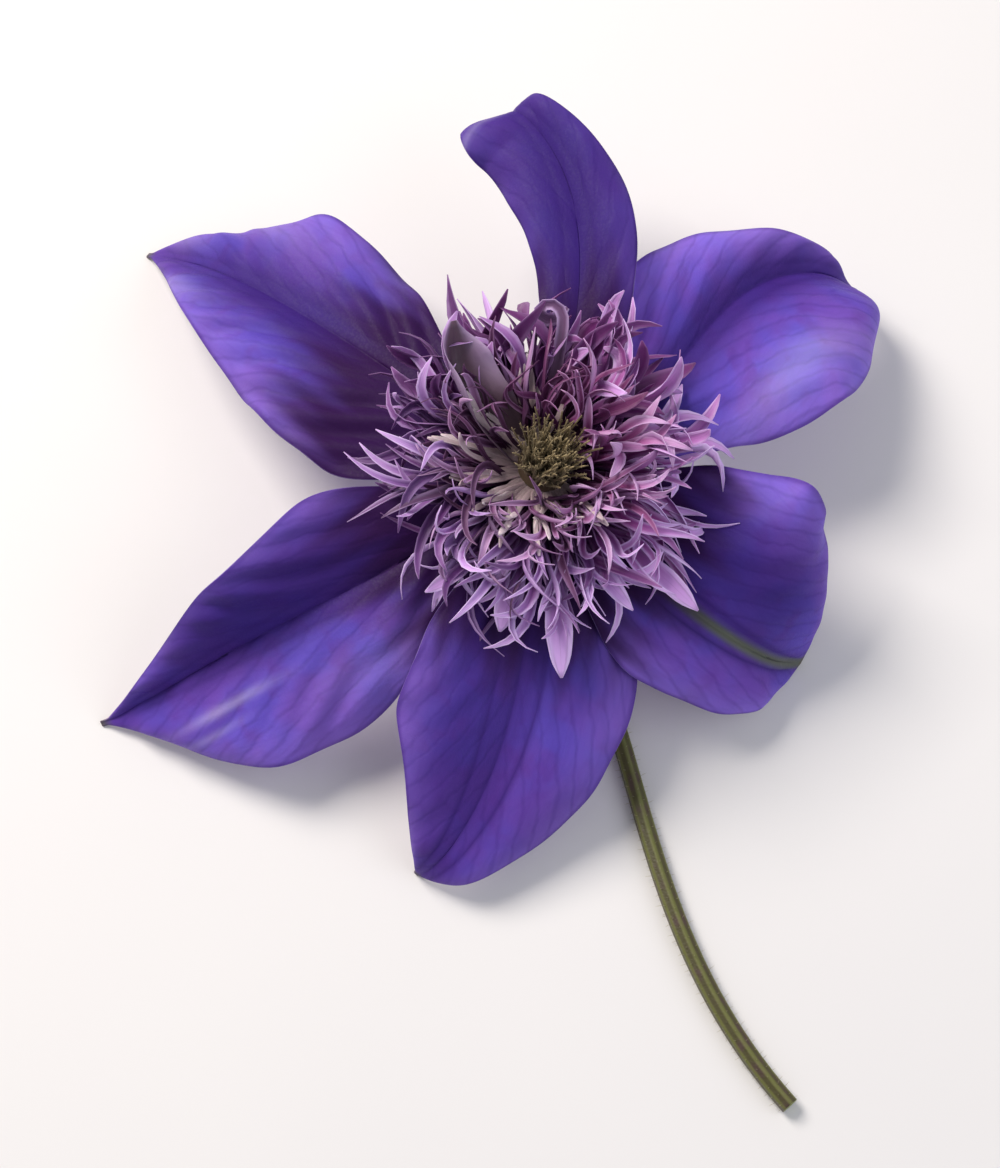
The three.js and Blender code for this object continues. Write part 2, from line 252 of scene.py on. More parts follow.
def blade(middle: np.ndarray, thickness: np.ndarray) -> tuple[np.ndarray, Faces]:
    """A thin closed blade with a rounded margin round a curved middle surface.

    Args:
        middle: Its points, (rows, columns, 3), rows running ahead and columns to the left.
        thickness: How thick it is at each of them.

    Returns:
        Its points, row by row as the upper face, a margin, the lower face backwards and the other
        margin, and its faces.
    """
    rows, columns, _ = middle.shape
    across = unit(np.gradient(middle, axis=1))
    normal = unit(np.cross(np.gradient(middle, axis=0), across))
    lift = normal * thickness[..., None] / 2
    left = middle[:, -1:] + across[:, -1:] * thickness[:, -1:, None] / 2
    right = middle[:, :1] - across[:, :1] * thickness[:, :1, None] / 2
    ring = np.concatenate([middle + lift, left, (middle - lift)[:, ::-1], right], axis=1)
    sides = 2 * columns + 2
    # These rings run clockwise, so each face is turned over.
    faces = [(first, *rest[::-1]) for first, *rest in ring_faces(rows, sides, capped=False)]
    under = 2 * columns
    for base, order in ((0, 1), ((rows - 1) * sides, -1)):
        ends = [(j, j + 1, under - j - 1, under - j) for j in range(columns - 1)]
        ends += [(columns - 1, columns, columns + 1), (under, under + 1, 0)]
        faces += [tuple(base + k for k in end)[::order] for end in ends]
    return ring.reshape(-1, 3), faces


def blade_values(s: np.ndarray, t: np.ndarray) -> np.ndarray:
    """What a blade's finish reads at each point of blade().

    Args:
        s: The share of the length, one for each row.
        t: The share of the width, -1 to 1, one for each column.

    Returns:
        Share of the length, share of the width, and 1 above, 0.5 on the margin or 0 below.
    """
    across = np.concatenate([t, t[-1:], t[::-1], t[:1]])
    face = np.concatenate([np.ones_like(t), [0.5], np.zeros_like(t), [0.5]])
    grid = np.empty((len(s), len(across), 3))
    grid[..., 0] = s[:, None]
    grid[..., 1] = across
    grid[..., 2] = face
    return grid.reshape(-1, 3)


def tube(route: np.ndarray, radii: np.ndarray, sides: int, ribs: np.ndarray | float = 0.0) -> np.ndarray:
    """Rings of points round a route, without any twist.

    Args:
        route: The middle of each ring.
        radii: The radius of each ring.
        sides: Points in a ring.
        ribs: How far each point stands out from the radius, for all rings alike.

    Returns:
        The points, ring by ring, anticlockwise seen from ahead.
    """
    ahead = unit(np.gradient(route, axis=0))
    angle = np.arange(sides) * 2 * math.pi / sides
    u = np.array([1.0, 0, 0]) if abs(ahead[0][0]) < 0.8 else np.array([0, 1.0, 0])
    points = np.empty((len(route), sides, 3))
    for i, forward in enumerate(ahead):
        u = unit(u - np.dot(u, forward) * forward)
        v = np.cross(forward, u)
        reach = (radii[i] + ribs * min(1.0, radii[i]))[..., None] if np.ndim(ribs) else radii[i]
        points[i] = route[i] + reach * (np.outer(np.cos(angle), u) + np.outer(np.sin(angle), v))
    return points.reshape(-1, 3)


def turned(outline: Outline, steps: int, sides: int) -> tuple[np.ndarray, Faces]:
    """A solid turned round the bloom's axis, with the corners of its outline eased.

    Args:
        outline: Its outline, from the top outwards and down.
        steps: Points to each stretch of the outline.
        sides: How many sides it has.

    Returns:
        Its points, in the frame of the whole part, and its faces.
    """
    corners = np.array(outline, float)
    eased = through(corners, np.linspace(0, 1, (len(corners) - 1) * steps + 1))
    radius = np.maximum(eased[:, :1], 0.02)
    angle = -np.arange(sides) * 2 * math.pi / sides
    height = np.broadcast_to(eased[:, 1:], (len(eased), sides))
    rings = np.stack([radius * np.cos(angle), radius * np.sin(angle), height], axis=-1)
    return from_bloom(rings.reshape(-1, 3)), ring_faces(len(rings), sides)


# ---- Materials ----


def linear(colour: str) -> tuple[float, float, float, float]:
    """An sRGB hex colour as linear red, green, blue and alpha."""
    parts = [int(colour[k:k + 2], 16) / 255 for k in (1, 3, 5)]
    red, green, blue = (c / 12.92 if c <= 0.04045 else ((c + 0.055) / 1.055) ** 2.4 for c in parts)
    return red, green, blue, 1.0


def add_node(tree: bpy.types.NodeTree, kind: str, inputs: dict[Any, Any] | None = None,
             **settings: Any) -> bpy.types.Node:
    """Adds one shader node.

    Args:
        tree: The material's nodes.
        kind: The node's Blender type.
        inputs: For each input, by name or number, a value or the output that feeds it.
        settings: The node's own properties.

    Returns:
        The node.
    """
    node = tree.nodes.new(kind)
    for key, value in settings.items():
        setattr(node, key, value)
    for key, value in (inputs or {}).items():
        if isinstance(value, bpy.types.NodeSocket):
            tree.links.new(value, node.inputs[key])
        else:
            node.inputs[key].default_value = value
    return node


class Painter:
    """The nodes of one material, with short words for the sums that its pattern needs."""

    def __init__(self, name: str) -> None:
        """Starts the material called name."""
        self.material = bpy.data.materials.new(name)
        self.material.use_nodes = True
        self.tree = self.material.node_tree
        self.shader = self.tree.nodes["Principled BSDF"]

    def attribute(self, name: str) -> list[bpy.types.NodeSocket]:
        """The three numbers of a surface attribute."""
        read = add_node(self.tree, "ShaderNodeAttribute", attribute_name=name)
        parts = add_node(self.tree, "ShaderNodeSeparateXYZ", {0: read.outputs["Vector"]})
        return list(parts.outputs)

    def sum(self, operation: str, *values: Any, clamp: bool = False) -> bpy.types.NodeSocket:
        """The result of one operation on numbers or outputs."""
        node = add_node(self.tree, "ShaderNodeMath", dict(enumerate(values)),
                        operation=operation, use_clamp=clamp)
        return node.outputs[0]

    def ramp(self, value: bpy.types.NodeSocket, low: float, high: float, start: float = 0.0,
             end: float = 1.0) -> bpy.types.NodeSocket:
        """A value from start to end, as value goes smoothly from low to high."""
        node = add_node(self.tree, "ShaderNodeMapRange", {0: value, 1: low, 2: high, 3: start, 4: end},
                        interpolation_type="SMOOTHSTEP")
        return node.outputs[0]

    def blend(self, share: Any, a: Any, b: Any) -> bpy.types.NodeSocket:
        """Colour a turned into colour b by a share, each a hex colour or an output."""
        colours = [linear(c) if isinstance(c, str) else c for c in (a, b)]
        node = add_node(self.tree, "ShaderNodeMix", {0: share, 6: colours[0], 7: colours[1]},
                        data_type="RGBA")
        return node.outputs[2]

    def coats(self, ground: Any, *coats: tuple[Any, Any]) -> bpy.types.NodeSocket:
        """Lays coats over a ground colour, each a share and the colour that it brings."""
        for share, colour in coats:
            ground = self.blend(share, ground, colour)
        return ground

    def vector(self, x: Any, y: Any, z: Any) -> bpy.types.NodeSocket:
        """Three numbers or outputs as a vector."""
        return add_node(self.tree, "ShaderNodeCombineXYZ", {0: x, 1: y, 2: z}).outputs[0]

    def noise(self, place: bpy.types.NodeSocket, scale: float,
              detail: float = 2.0) -> bpy.types.NodeSocket:
        """Soft noise from about 0.25 to 0.75, scale of its lumps to each unit of place."""
        node = add_node(self.tree, "ShaderNodeTexNoise",
                        {"Vector": place, "Scale": scale, "Detail": detail})
        return node.outputs["Fac"]

    def object_mm(self) -> bpy.types.NodeSocket:
        """The place on the part, in millimetres."""
        place = add_node(self.tree, "ShaderNodeTexCoord").outputs["Object"]
        scaled = add_node(self.tree, "ShaderNodeVectorMath", {0: place, "Scale": 1 / MM},
                          operation="SCALE")
        return scaled.outputs[0]

    def bump(self, height: bpy.types.NodeSocket, depth: float, strength: float = 1.0) -> None:
        """Raises the surface by depth millimetres where height is 1."""
        node = add_node(self.tree, "ShaderNodeBump",
                        {"Height": height, "Distance": depth * MM, "Strength": strength})
        self.tree.links.new(node.outputs[0], self.shader.inputs["Normal"])

    def finish(self, colour: bpy.types.NodeSocket, **sockets: Any) -> bpy.types.Material:
        """Sets the shader.

        Args:
            colour: The base colour.
            sockets: The shader's other inputs, with _ for a space, each a number, a colour or an
                output.

        Returns:
            The finished material.
        """
        self.tree.links.new(colour, self.shader.inputs["Base Color"])
        for key, value in sockets.items():
            socket = self.shader.inputs[key.replace("_", " ")]
            if isinstance(value, bpy.types.NodeSocket):
                self.tree.links.new(value, socket)
            else:
                socket.default_value = value
        return self.material


@dataclass(frozen=True)
class TepalTissue:
    """Fresh tepal: thin living tissue with a skin of domed cells, which gives a satin sheen.

    The upper skin holds a strong violet dye. The lower one is pale and downy, with a broad whitish
    bar along its three nerves.
    """

    violet: str = "#754eb7"
    blue: str = "#6753c5"
    purple: str = "#6a3b9c"
    bar: str = "#48257f"
    # The next colour is painted shade, laid all over a tepal and in a soft band along its groove.
    shade_band: str = "#2e1468"
    # The next colour is the dark of the base: partly its own dye, partly painted shade under the tuft.
    base: str = "#2e0c44"
    pale_margin_and_highlight: str = "#9a7ae0"
    vein: str = "#301768"
    tip: str = "#5b5a3a"
    rib: str = "#5b6050"
    # The crest colour also paints the highlights, the gleams.
    crest: str = "#d6cbec"
    under: str = "#a795d6"
    under_pale: str = "#c3b4e2"
    under_bar: str = "#dccbd9"
    under_vein: str = "#6e4fa6"
    sheen: str = "#b49aff"
    vein_gap: float = 1.9  # between one long vein and the next
    vein_slant: float = 0.34  # how fast a long vein moves off from the midrib as it runs out
    vein_wander: float = 0.8  # how far it strays from its course, in gaps
    net_gap: float = 1.3  # across one mesh of the net between them
    net_stretch: float = 3.2  # how many times as long as it is broad
    bar_edge: tuple[float, float] = (0.6, 3.6)  # where the bar along the midrib starts to fade and ends
    cell: float = 0.12  # across a skin cell, drawn twice as coarse as the real one so that it shows
    relief: float = 0.05  # depth of the veins

    def material(self) -> bpy.types.Material:
        """The tissue's material, read from the attributes "blade", "flat" and "marks"."""
        p = Painter("Satin violet tepal tissue")
        along, across, face = p.attribute("blade")
        x, y, nerve = p.attribute("flat")
        dusk, shade_band, accent = p.attribute("marks")
        out = p.sum("ABSOLUTE", x)
        reach = p.sum("ABSOLUTE", across)
        place = p.vector(x, y, 0.0)
        soft = p.noise(place, 0.11, 3.0)
        wander = p.noise(place, 0.3)
        # Long veins leave the midrib at a narrow angle and run on beside the margin.
        course = p.sum("DIVIDE", p.sum("MULTIPLY_ADD", y, -self.vein_slant, out), self.vein_gap)
        course = p.sum("MULTIPLY_ADD", wander, self.vein_wander, course)
        veins = p.ramp(p.sum("PINGPONG", course, 0.5), 0.0, 0.2, 1.0, 0.0)
        net_place = p.vector(p.sum("DIVIDE", x, self.net_gap),
                             p.sum("DIVIDE", y, self.net_stretch * self.net_gap), 0.0)
        net = add_node(p.tree, "ShaderNodeTexVoronoi", {"Vector": net_place, "Scale": 1.0},
                       feature="DISTANCE_TO_EDGE").outputs["Distance"]
        net = p.ramp(net, 0.02, 0.16, 1.0, 0.0)
        lines = p.sum("MULTIPLY_ADD", net, 0.25, p.sum("MULTIPLY", veins, 0.75), clamp=True)
        lines = p.sum("MULTIPLY", lines, p.ramp(along, 0.0, 0.2))

        upper = p.coats(
            self.violet,
            # Blue mottling and paler margins: partly the tissue's own uneven tone, partly painted satin
            # highlight.
            (p.ramp(soft, 0.38, 0.62), self.blue),
            (p.ramp(wander, 0.5, 0.72, 0.0, 0.5), self.purple),
            (p.ramp(reach, 0.45, 1.0, 0.0, 0.5), self.pale_margin_and_highlight),
            (p.ramp(reach, 0.94, 1.0, 0.0, 0.5), self.bar),
            (p.sum("MULTIPLY", p.ramp(out, *self.bar_edge, 1.0, 0.0), 0.5), self.bar),
            # Painted shade, all over the tepal and in a soft band along the groove.
            (shade_band, self.shade_band),
            (p.sum("MULTIPLY", lines, 0.24), self.vein),
            (p.sum("MULTIPLY", nerve, 0.6, clamp=True), self.vein),
            # An accent is the olive rib where it is above 0, and where it is below, a pale streak: the
            # painted highlights and the crest of the curled end.
            (p.sum("MAXIMUM", accent, 0.0), self.rib),
            (p.sum("MAXIMUM", p.sum("MULTIPLY", accent, -1.0), 0.0), self.crest),
            # The dark of the base: partly its own dye, partly painted shade under the tuft.
            (dusk, self.base))
        lower = p.coats(
            self.under,
            (p.ramp(soft, 0.35, 0.65), self.under_pale),
            (p.ramp(out, 1.6, 3.6, 0.85, 0.0), self.under_bar),
            (p.sum("MULTIPLY", lines, 0.45), self.under_vein),
            (p.sum("MULTIPLY", nerve, 0.5, clamp=True), self.under_vein))
        tip = p.sum("MULTIPLY", p.ramp(along, 0.965, 1.0), 0.8)
        colour = p.blend(tip, p.blend(face, lower, upper), self.tip)

        cells = add_node(p.tree, "ShaderNodeTexVoronoi",
                         {"Vector": place, "Scale": 1 / (2 * self.cell)}).outputs["Distance"]
        p.bump(p.sum("MULTIPLY_ADD", lines, -1.0, p.sum("MULTIPLY", cells, 0.4)), self.relief, 0.6)
        return p.finish(colour, Roughness=p.ramp(cells, 0.0, 0.8, 0.5, 0.64), Specular_IOR_Level=0.15,
                        Sheen_Weight=0.06, Sheen_Roughness=0.4, Sheen_Tint=linear(self.sheen),
                        Subsurface_Weight=0.14, Subsurface_Radius=(1.2, 0.5, 1.2),
                        Subsurface_Scale=0.5 * MM)


@dataclass(frozen=True)
class StaminodeTissue:
    """Petal-like staminode: a thin channelled strap, dark at its claw and pale at its edges and tip."""

    name: str
    claw: str
    body: str
    warm: str
    tip: str
    edge: str
    aged: str = "#5e4c52"
    sheen: str = "#dcb8ff"
    relief: float = 0.08  # depth of its fine furrows

    def material(self) -> bpy.types.Material:
        """The tissue's material, read from the attributes "blade" and "tone"."""
        p = Painter(self.name)
        along, across, face = p.attribute("blade")
        warmth, paleness, age = p.attribute("tone")
        reach = p.sum("ABSOLUTE", across)
        mottle = p.noise(p.object_mm(), 0.9, 3.0)
        streak = p.noise(
            p.vector(p.sum("MULTIPLY", across, 2.2), p.sum("MULTIPLY", along, 1.1), age), 1.6)
        rim = p.sum("MULTIPLY", p.ramp(reach, 0.4, 1.0), p.ramp(along, 0.3, 0.75))
        papery = p.sum("MULTIPLY_ADD", age, 0.25, p.sum("MULTIPLY_ADD", paleness, 0.75, 0.1),
                       clamp=True)
        colour = p.coats(
            self.body,
            (warmth, self.warm),
            (p.sum("MULTIPLY", p.ramp(along, 0.45, 0.95), paleness), self.tip),
            # A blade that isn't pale keeps the dark of its claw.
            (p.sum("MULTIPLY_ADD", paleness, -1.1, 0.75, clamp=True), self.claw),
            # Darker towards the claw, deep in the tuft: partly the claw's own dark colour, partly
            # painted shade between the blades.
            (p.ramp(along, 0.12, 0.8, 0.95, 0.0), self.claw),
            (p.ramp(age, 0.0, 1.0, 0.0, 0.85), self.aged),
            (p.sum("MULTIPLY", rim, papery), self.edge),
            # The lower face is paler, since the dye sits in the upper skin.
            (p.sum("MULTIPLY", p.ramp(face, 0.0, 0.6, 0.4, 0.0), paleness), self.edge),
            (p.ramp(streak, 0.5, 0.75, 0.0, 0.3), self.claw))
        p.bump(p.sum("ADD", mottle, streak), self.relief, 0.6)
        return p.finish(colour, Roughness=p.ramp(mottle, 0.3, 0.7, 0.4, 0.6), Specular_IOR_Level=0.35,
                        Sheen_Weight=0.1, Sheen_Roughness=0.4, Sheen_Tint=linear(self.sheen),
                        Subsurface_Weight=0.14, Subsurface_Radius=(1.2, 0.6, 1.1),
                        Subsurface_Scale=0.4 * MM)


@dataclass(frozen=True)
class StyleTissue:
    """Pistils: soft olive threads with silky hairs, so the gloss is broken up and low."""

    low: str = "#4e3d2e"
    high: str = "#9c8a66"
    hair: str = "#b8a684"
    sheen: str = "#e8e0b8"

    def material(self) -> bpy.types.Material:
        """The tissue's material, read from the attribute "tone"."""
        p = Painter("Silky olive pistil")
        along, hair, shade = p.attribute("tone")
        colour = p.coats(
            self.low,
            (p.ramp(along, 0.1, 0.95), self.high),
            # Painted shade: darker where shade is high, on the outer styles.
            (p.sum("MULTIPLY", shade, 0.65), self.low),
            (hair, self.hair))
        p.bump(p.noise(p.object_mm(), 1.6), 0.05, 0.5)
        return p.finish(colour, Roughness=0.62, Specular_IOR_Level=0.35, Sheen_Weight=0.25,
                        Sheen_Roughness=0.5, Sheen_Tint=linear(self.sheen))


@dataclass(frozen=True)
class StalkRind:
    """Green stalk: a waxy ribbed rind, olive-brown where the sun reached it, with downy hairs."""

    green: str = "#5f6430"
    brown: str = "#45401f"
    wine: str = "#4a2a38"
    ridge: str = "#7c8242"
    hair: str = "#b4ad84"
    pith: str = "#c9cf9a"
    pith_ring: str = "#7d8a4a"

    def material(self) -> bpy.types.Material:
        """The rind's material, read from the attributes "rind" and "cut"."""
        p = Painter("Ribbed green stalk rind")
        along, ridge, hair = p.attribute("rind")
        depth, _, cut = p.attribute("cut")
        mottle = p.noise(p.object_mm(), 0.5, 4.0)
        fine = p.noise(p.object_mm(), 4.0)
        colour = p.coats(
            self.green,
            (p.ramp(along, 0.05, 0.7), self.brown),
            (p.ramp(mottle, 0.45, 0.65, 0.0, 0.5), self.wine),
            (p.ramp(ridge, 0.2, 0.9, 0.0, 0.45), self.ridge),
            (hair, self.hair),
            (cut, p.blend(p.ramp(depth, 0.55, 0.8), self.pith, self.pith_ring)))
        p.bump(p.sum("ADD", mottle, fine), 0.06, 0.6)
        return p.finish(colour, Roughness=p.ramp(fine, 0.3, 0.7, 0.38, 0.55), Specular_IOR_Level=0.45)


# ---- Tepals ----


@dataclass(frozen=True)
class Tepal:
    """One tepal, by the sizes that its CAD solid has, and the fine relief that it gets here.

    Each pair of widths is for the right side and then the left, seen from the bloom's middle.
    """

    node: str
    heading: float  # round the bloom's axis from its +X
    length: float
    widths: tuple[float, float]  # how far each side stands out from the midrib
    widest: tuple[float, float]  # at what share of the length
    claw: tuple[float, float]  # how slowly each side widens out of the base
    point: float  # how fast it narrows to the tip
    level: float  # height of its root in the bloom's frame
    rise: float  # slope at the base
    fall: float  # slope at the tip, down
    curl: float  # what the part between the two shares of curl_over turns down
    curl_over: tuple[float, float]
    bend: float  # sideways sweep
    twist: float  # roll at the tip
    fold: float  # how deep the V along the midrib is
    roll: float  # how far the margins turn down
    waves: float
    phase: float
    wave: float
    skew: float = 0.0  # how far the crease of the curl lies from square across
    droop: float | None = None  # turn about its root. None rests it on the surface.
    crease: float = 0.5  # depth of the sharp groove along the midrib
    pucker: float = 0.16  # height of the quilting between side veins
    nerve_gap: float = 1.7  # from the midrib to the nerve on each side
    nerves: float = 0.6  # how strongly those show
    stray: float = 0.0  # how far the groove lies to the left, as a share of that side's width
    dusk: float = 25.0  # how far from the bloom's axis the dark of the base runs, partly its own dye and partly painted shade under the tuft
    shade_all_over: float = 0.0  # how dark painted shade makes it all over, for a tepal turned from the light
    shade_band: float = 0.3  # how dark painted shade makes it in a soft band along the groove, where one wall of the trough turns from the light
    shade_band_at: float = 0.0  # how far to the left of the groove its middle lies
    shade_band_width: float = 3.0
    rib: float = 0.0  # how strongly the midrib shows olive towards the tip
    crest: float = 0.0  # how strongly the fold of the curled end shows pale
    # Painted highlights: pale streaks of satin gleam, each by its share of the length, its distance to
    # the left, its half length as a share, its half width and how pale it is.
    gleams: tuple[tuple[float, float, float, float, float], ...] = ()

    ROOT_RADIUS = 4.5
    BASE_HALF_WIDTH = 1.9
    TIP_HALF_WIDTH = 0.3
    STATIONS = 80  # the fine steps that the midrib bends in, as in the CAD solid
    ROWS = 130
    COLUMNS = 65
    THICKNESS = 0.34
    WAVE_LAG = 2.3  # how far the right margin's waves are behind the left one's
    UNEVEN = 0.022  # how far the outline strays from true, as a share of the half width
    FRILL = 0.34  # height of the fine waves at the very margin
    PUCKERS = (4.6, 7.3)  # length of the finer and of the broader waves of the quilting
    NERVE_WIDTH = 0.34
    NERVE_FURROW = 0.18  # how deep a nerve lies above
    NERVE_RIDGE = 0.22  # how much thicker the tepal is along it
    CREASE_WIDTH = 1.8
    RIB_WIDTH = 0.75
    PATTERN_STEP = 97.3  # sets each tepal off from the last in its pattern

    def half_width(self, s: np.ndarray, left: int) -> np.ndarray:
        """How far one side stands out from the midrib.

        Args:
            s: Shares of the length.
            left: 1 for the left side, 0 for the right.

        Returns:
            The distance at each share.
        """
        widest, width = self.widest[left], self.widths[left]
        swell = np.sin(math.pi / 2 * np.minimum(s / widest, 1)) ** self.claw[left]
        taper = np.cos(math.pi / 2 * np.clip((s - widest) / (1 - widest), 0, 1)) ** self.point
        inner = self.BASE_HALF_WIDTH + (width - self.BASE_HALF_WIDTH) * swell
        return np.where(s < widest, inner, np.maximum(self.TIP_HALF_WIDTH, width * taper))

    def midrib(self) -> tuple[np.ndarray, np.ndarray, np.ndarray]:
        """The midrib from the root out, with the way to the left and up at each station.

        Returns:
            Places, left vectors and up vectors, one row for each station.
        """
        def angles(s: float) -> np.ndarray:
            """Its roll, dip and sweep in degrees at a share of the length."""
            curl = self.curl * smoothstep(s, *self.curl_over)
            skew = math.radians(self.skew)
            return np.array([
                self.twist * smoothstep(s, 0.12, 0.5) + curl * math.sin(skew),
                -(self.rise * (1 - s) - self.fall * s - curl * math.cos(skew)),
                self.bend * s * s * 1.5])

        def turn(roll: float, dip: float, sweep: float) -> np.ndarray:
            """The matrix of a small turn by those three."""
            return rotation(roll, "X") @ rotation(dip, "Y") @ rotation(sweep, "Z")

        at = np.zeros(3)
        axes = turn(0, angles(0)[1], 0)
        places, lefts, ups = [], [], []
        for i in range(self.STATIONS + 1):
            s = i / self.STATIONS
            places.append(at.copy())
            lefts.append(axes[:, 1].copy())
            ups.append(axes[:, 2].copy())
            at = at + axes[:, 0] * self.length / self.STATIONS
            axes = axes @ turn(*(angles(s + 1 / self.STATIONS) - angles(s)))
        return np.array(places), np.array(lefts), np.array(ups)

    def surface(self) -> dict[str, np.ndarray]:
        """The tepal's middle surface, before it is turned to its heading.

        Returns:
            "middle", its points (rows, columns, 3). For each of them "thickness", "x" the distance
            to the left of the groove, "nerve" how strongly a nerve marks it, and "marks" for its
            colours. "s" and "t", the shares of length and of width.
        """
        s = np.linspace(0, 1, self.ROWS)
        u = np.linspace(-1, 1, self.COLUMNS)
        t = np.sign(u) * np.abs(u) ** 1.12
        places, lefts, ups = (through(rows, s) for rows in self.midrib())
        left_side = (t > 0)[None, :]
        along = s[:, None]
        y = along * self.length
        swell = np.sin(math.pi * along)
        lag = np.where(left_side, 0, self.WAVE_LAG)
        uneven = 1 + self.UNEVEN * swell * np.sin(2 * math.pi * 3.1 * along + 3 * self.phase + lag)
        right, left = (self.half_width(s, side)[:, None] for side in (0, 1))
        across = np.where(left_side, left, right) * t * uneven
        groove = self.stray * (left if self.stray > 0 else right) * smoothstep(along, 0.15, 0.8)
        x = across - groove
        half = np.where(x > 0, left - groove, right + groove) * uneven
        out = np.abs(x)
        reach = np.minimum(out / half, 1)

        # The CAD solid's own form: the V, the margins turned down and the long waves.
        fold = self.fold * reach ** 1.4 - self.roll * reach ** 4
        beat = 2 * math.pi * self.waves * along + self.phase + lag
        lift = half * fold + self.wave * swell * np.abs(t) ** 3 * np.sin(beat)
        lift = lift * smoothstep(along, 0.12, 0.6)

        frill = self.FRILL * swell * reach ** 7 * np.sin(2.9 * beat + 1.7 * lag)
        fine, broad = self.PUCKERS
        slant = 1.4 * np.sin(y / 3.7 + self.phase)
        quilt = 0.6 * np.sin(2 * math.pi * (0.6 * y - 1.1 * out) / fine + slant)
        quilt = quilt + 0.4 * np.sin(2 * math.pi * (y - 1.5 * out) / broad + 1.7 * self.phase + lag)
        quilt = quilt * self.pucker * smoothstep(reach, 0.06, 0.4) * smoothstep(1 - reach, 0, 0.25)
        quilt = quilt * np.sqrt(np.maximum(swell, 0))

        gap = self.nerve_gap * (0.3 + 0.7 * np.sin(math.pi * along ** 0.8))
        fade = smoothstep(along, 0.02, 0.12) * smoothstep(1 - along, 0.0, 0.12)
        nerve = np.exp(-(x / self.NERVE_WIDTH) ** 2)
        nerve = (nerve + self.nerves * np.exp(-((out - gap) / self.NERVE_WIDTH) ** 2)) * fade
        shoulder = 0.3 * np.exp(-((out - 4.2) / 2.2) ** 2)
        crease = self.crease * (np.exp(-(out / self.CREASE_WIDTH)) - shoulder) * fade
        lift = lift + frill + quilt - self.NERVE_FURROW * nerve - crease

        middle = places[:, None] + lefts[:, None] * across[..., None] + ups[:, None] * lift[..., None]
        thickness = self.THICKNESS * (1 - 0.45 * np.abs(t) ** 4)[None, :] + self.NERVE_RIDGE * nerve
        return {"middle": middle, "thickness": thickness, "x": x, "nerve": nerve,
                "marks": self.marks(along, across, x), "s": s, "t": t}

    def marks(self, along: np.ndarray, across: np.ndarray, x: np.ndarray) -> np.ndarray:
        """Where the dyes of the tepal lie.

        Args:
            along: The share of the length at each point.
            across: How far it is to the left of the midrib.
            x: How far it is to the left of the groove.

        Returns:
            For each point the strength of the dark of the base, partly dye and partly painted shade
            under the tuft, that of the painted shade, and its accent: the olive rib above 0, and below
            it the pale streaks, the painted highlights and the crest of the curled end.
        """
        # The dark of the base, partly its own dye and partly painted shade under the tuft, runs out
        # unevenly past the staminodes.
        from_axis = np.hypot(self.ROOT_RADIUS + along * self.length, across)
        ragged = 1.6 * np.sin(0.9 * across + self.phase) + 1.1 * np.sin(2.3 * across + 2 * self.phase)
        dusk = 1 - smoothstep(from_axis + ragged, 0.6 * self.dusk, self.dusk)
        # Painted shade: all over the tepal, and deeper in a soft band beside the groove where the
        # trough's wall turns from the light.
        spread = np.exp(-((x - self.shade_band_at) / self.shade_band_width) ** 2)
        shade_band = self.shade_all_over + (self.shade_band - self.shade_all_over) * spread * (1 - smoothstep(along, 0.62, 1.0))
        accent = self.rib * np.exp(-(x / self.RIB_WIDTH) ** 4) * smoothstep(along, 0.26, 0.36)
        # The crest of the curled end is a streak too, right across it.
        crest = (sum(self.curl_over) / 2, 0.0, 0.009, 1e3, self.crest)
        # The gleams are painted highlights.
        for middle_at, aside, half_length, half_across, pale in (*self.gleams, crest):
            off = ((along - middle_at) / half_length) ** 2 + ((x - aside) / half_across) ** 2
            accent = accent - pale * np.exp(-off)
        return np.stack([dusk, shade_band, accent], axis=-1)

    def build(self, index: int, material: bpy.types.Material) -> bpy.types.Object:
        """Makes the tepal in its place.

        Args:
            index: Its number in the bloom, which sets it off from the others in its pattern.
            material: Its tissue.

        Returns:
            The finished piece.
        """
        surface = self.surface()
        x, s, t = (surface[name] for name in "xst")
        points, faces = blade(surface["middle"], surface["thickness"])
        y = np.broadcast_to((s * self.length + self.PATTERN_STEP * index)[:, None], x.shape)
        flat = np.stack([x, y, surface["nerve"]], axis=-1)
        # Each row of points goes over the upper face, round one margin and back under.
        order = [*range(len(t)), len(t) - 1, *range(len(t) - 1, -1, -1), 0]
        flat, marks = (rows[:, order].reshape(-1, 3) for rows in (flat, surface["marks"]))
        skin = Skin()
        skin.add(self.placed(points), faces, blade=blade_values(s, t), flat=flat, marks=marks)
        return skin.to_object(f"{self.node}_blade", material)

    def placed(self, points: np.ndarray) -> np.ndarray:
        """Turns the tepal to its heading and droop, or down onto the surface.

        Args:
            points: Its points, with the root at the origin and the midrib out along +X.

        Returns:
            The points in the frame of the whole part.
        """
        root = polar(self.heading, self.ROOT_RADIUS, self.level)
        turn = rotation(self.heading, "Z")

        def at(droop: float) -> np.ndarray:
            """The points at one droop."""
            return from_bloom(points @ (turn @ rotation(droop, "Y")).T + root)

        if self.droop is not None:
            return at(self.droop)
        low, high = -30.0, 60.0
        for _ in range(40):
            half_way = (low + high) / 2
            if at(half_way)[:, 2].min() < 0:
                high = half_way
            else:
                low = half_way
        return at(low)


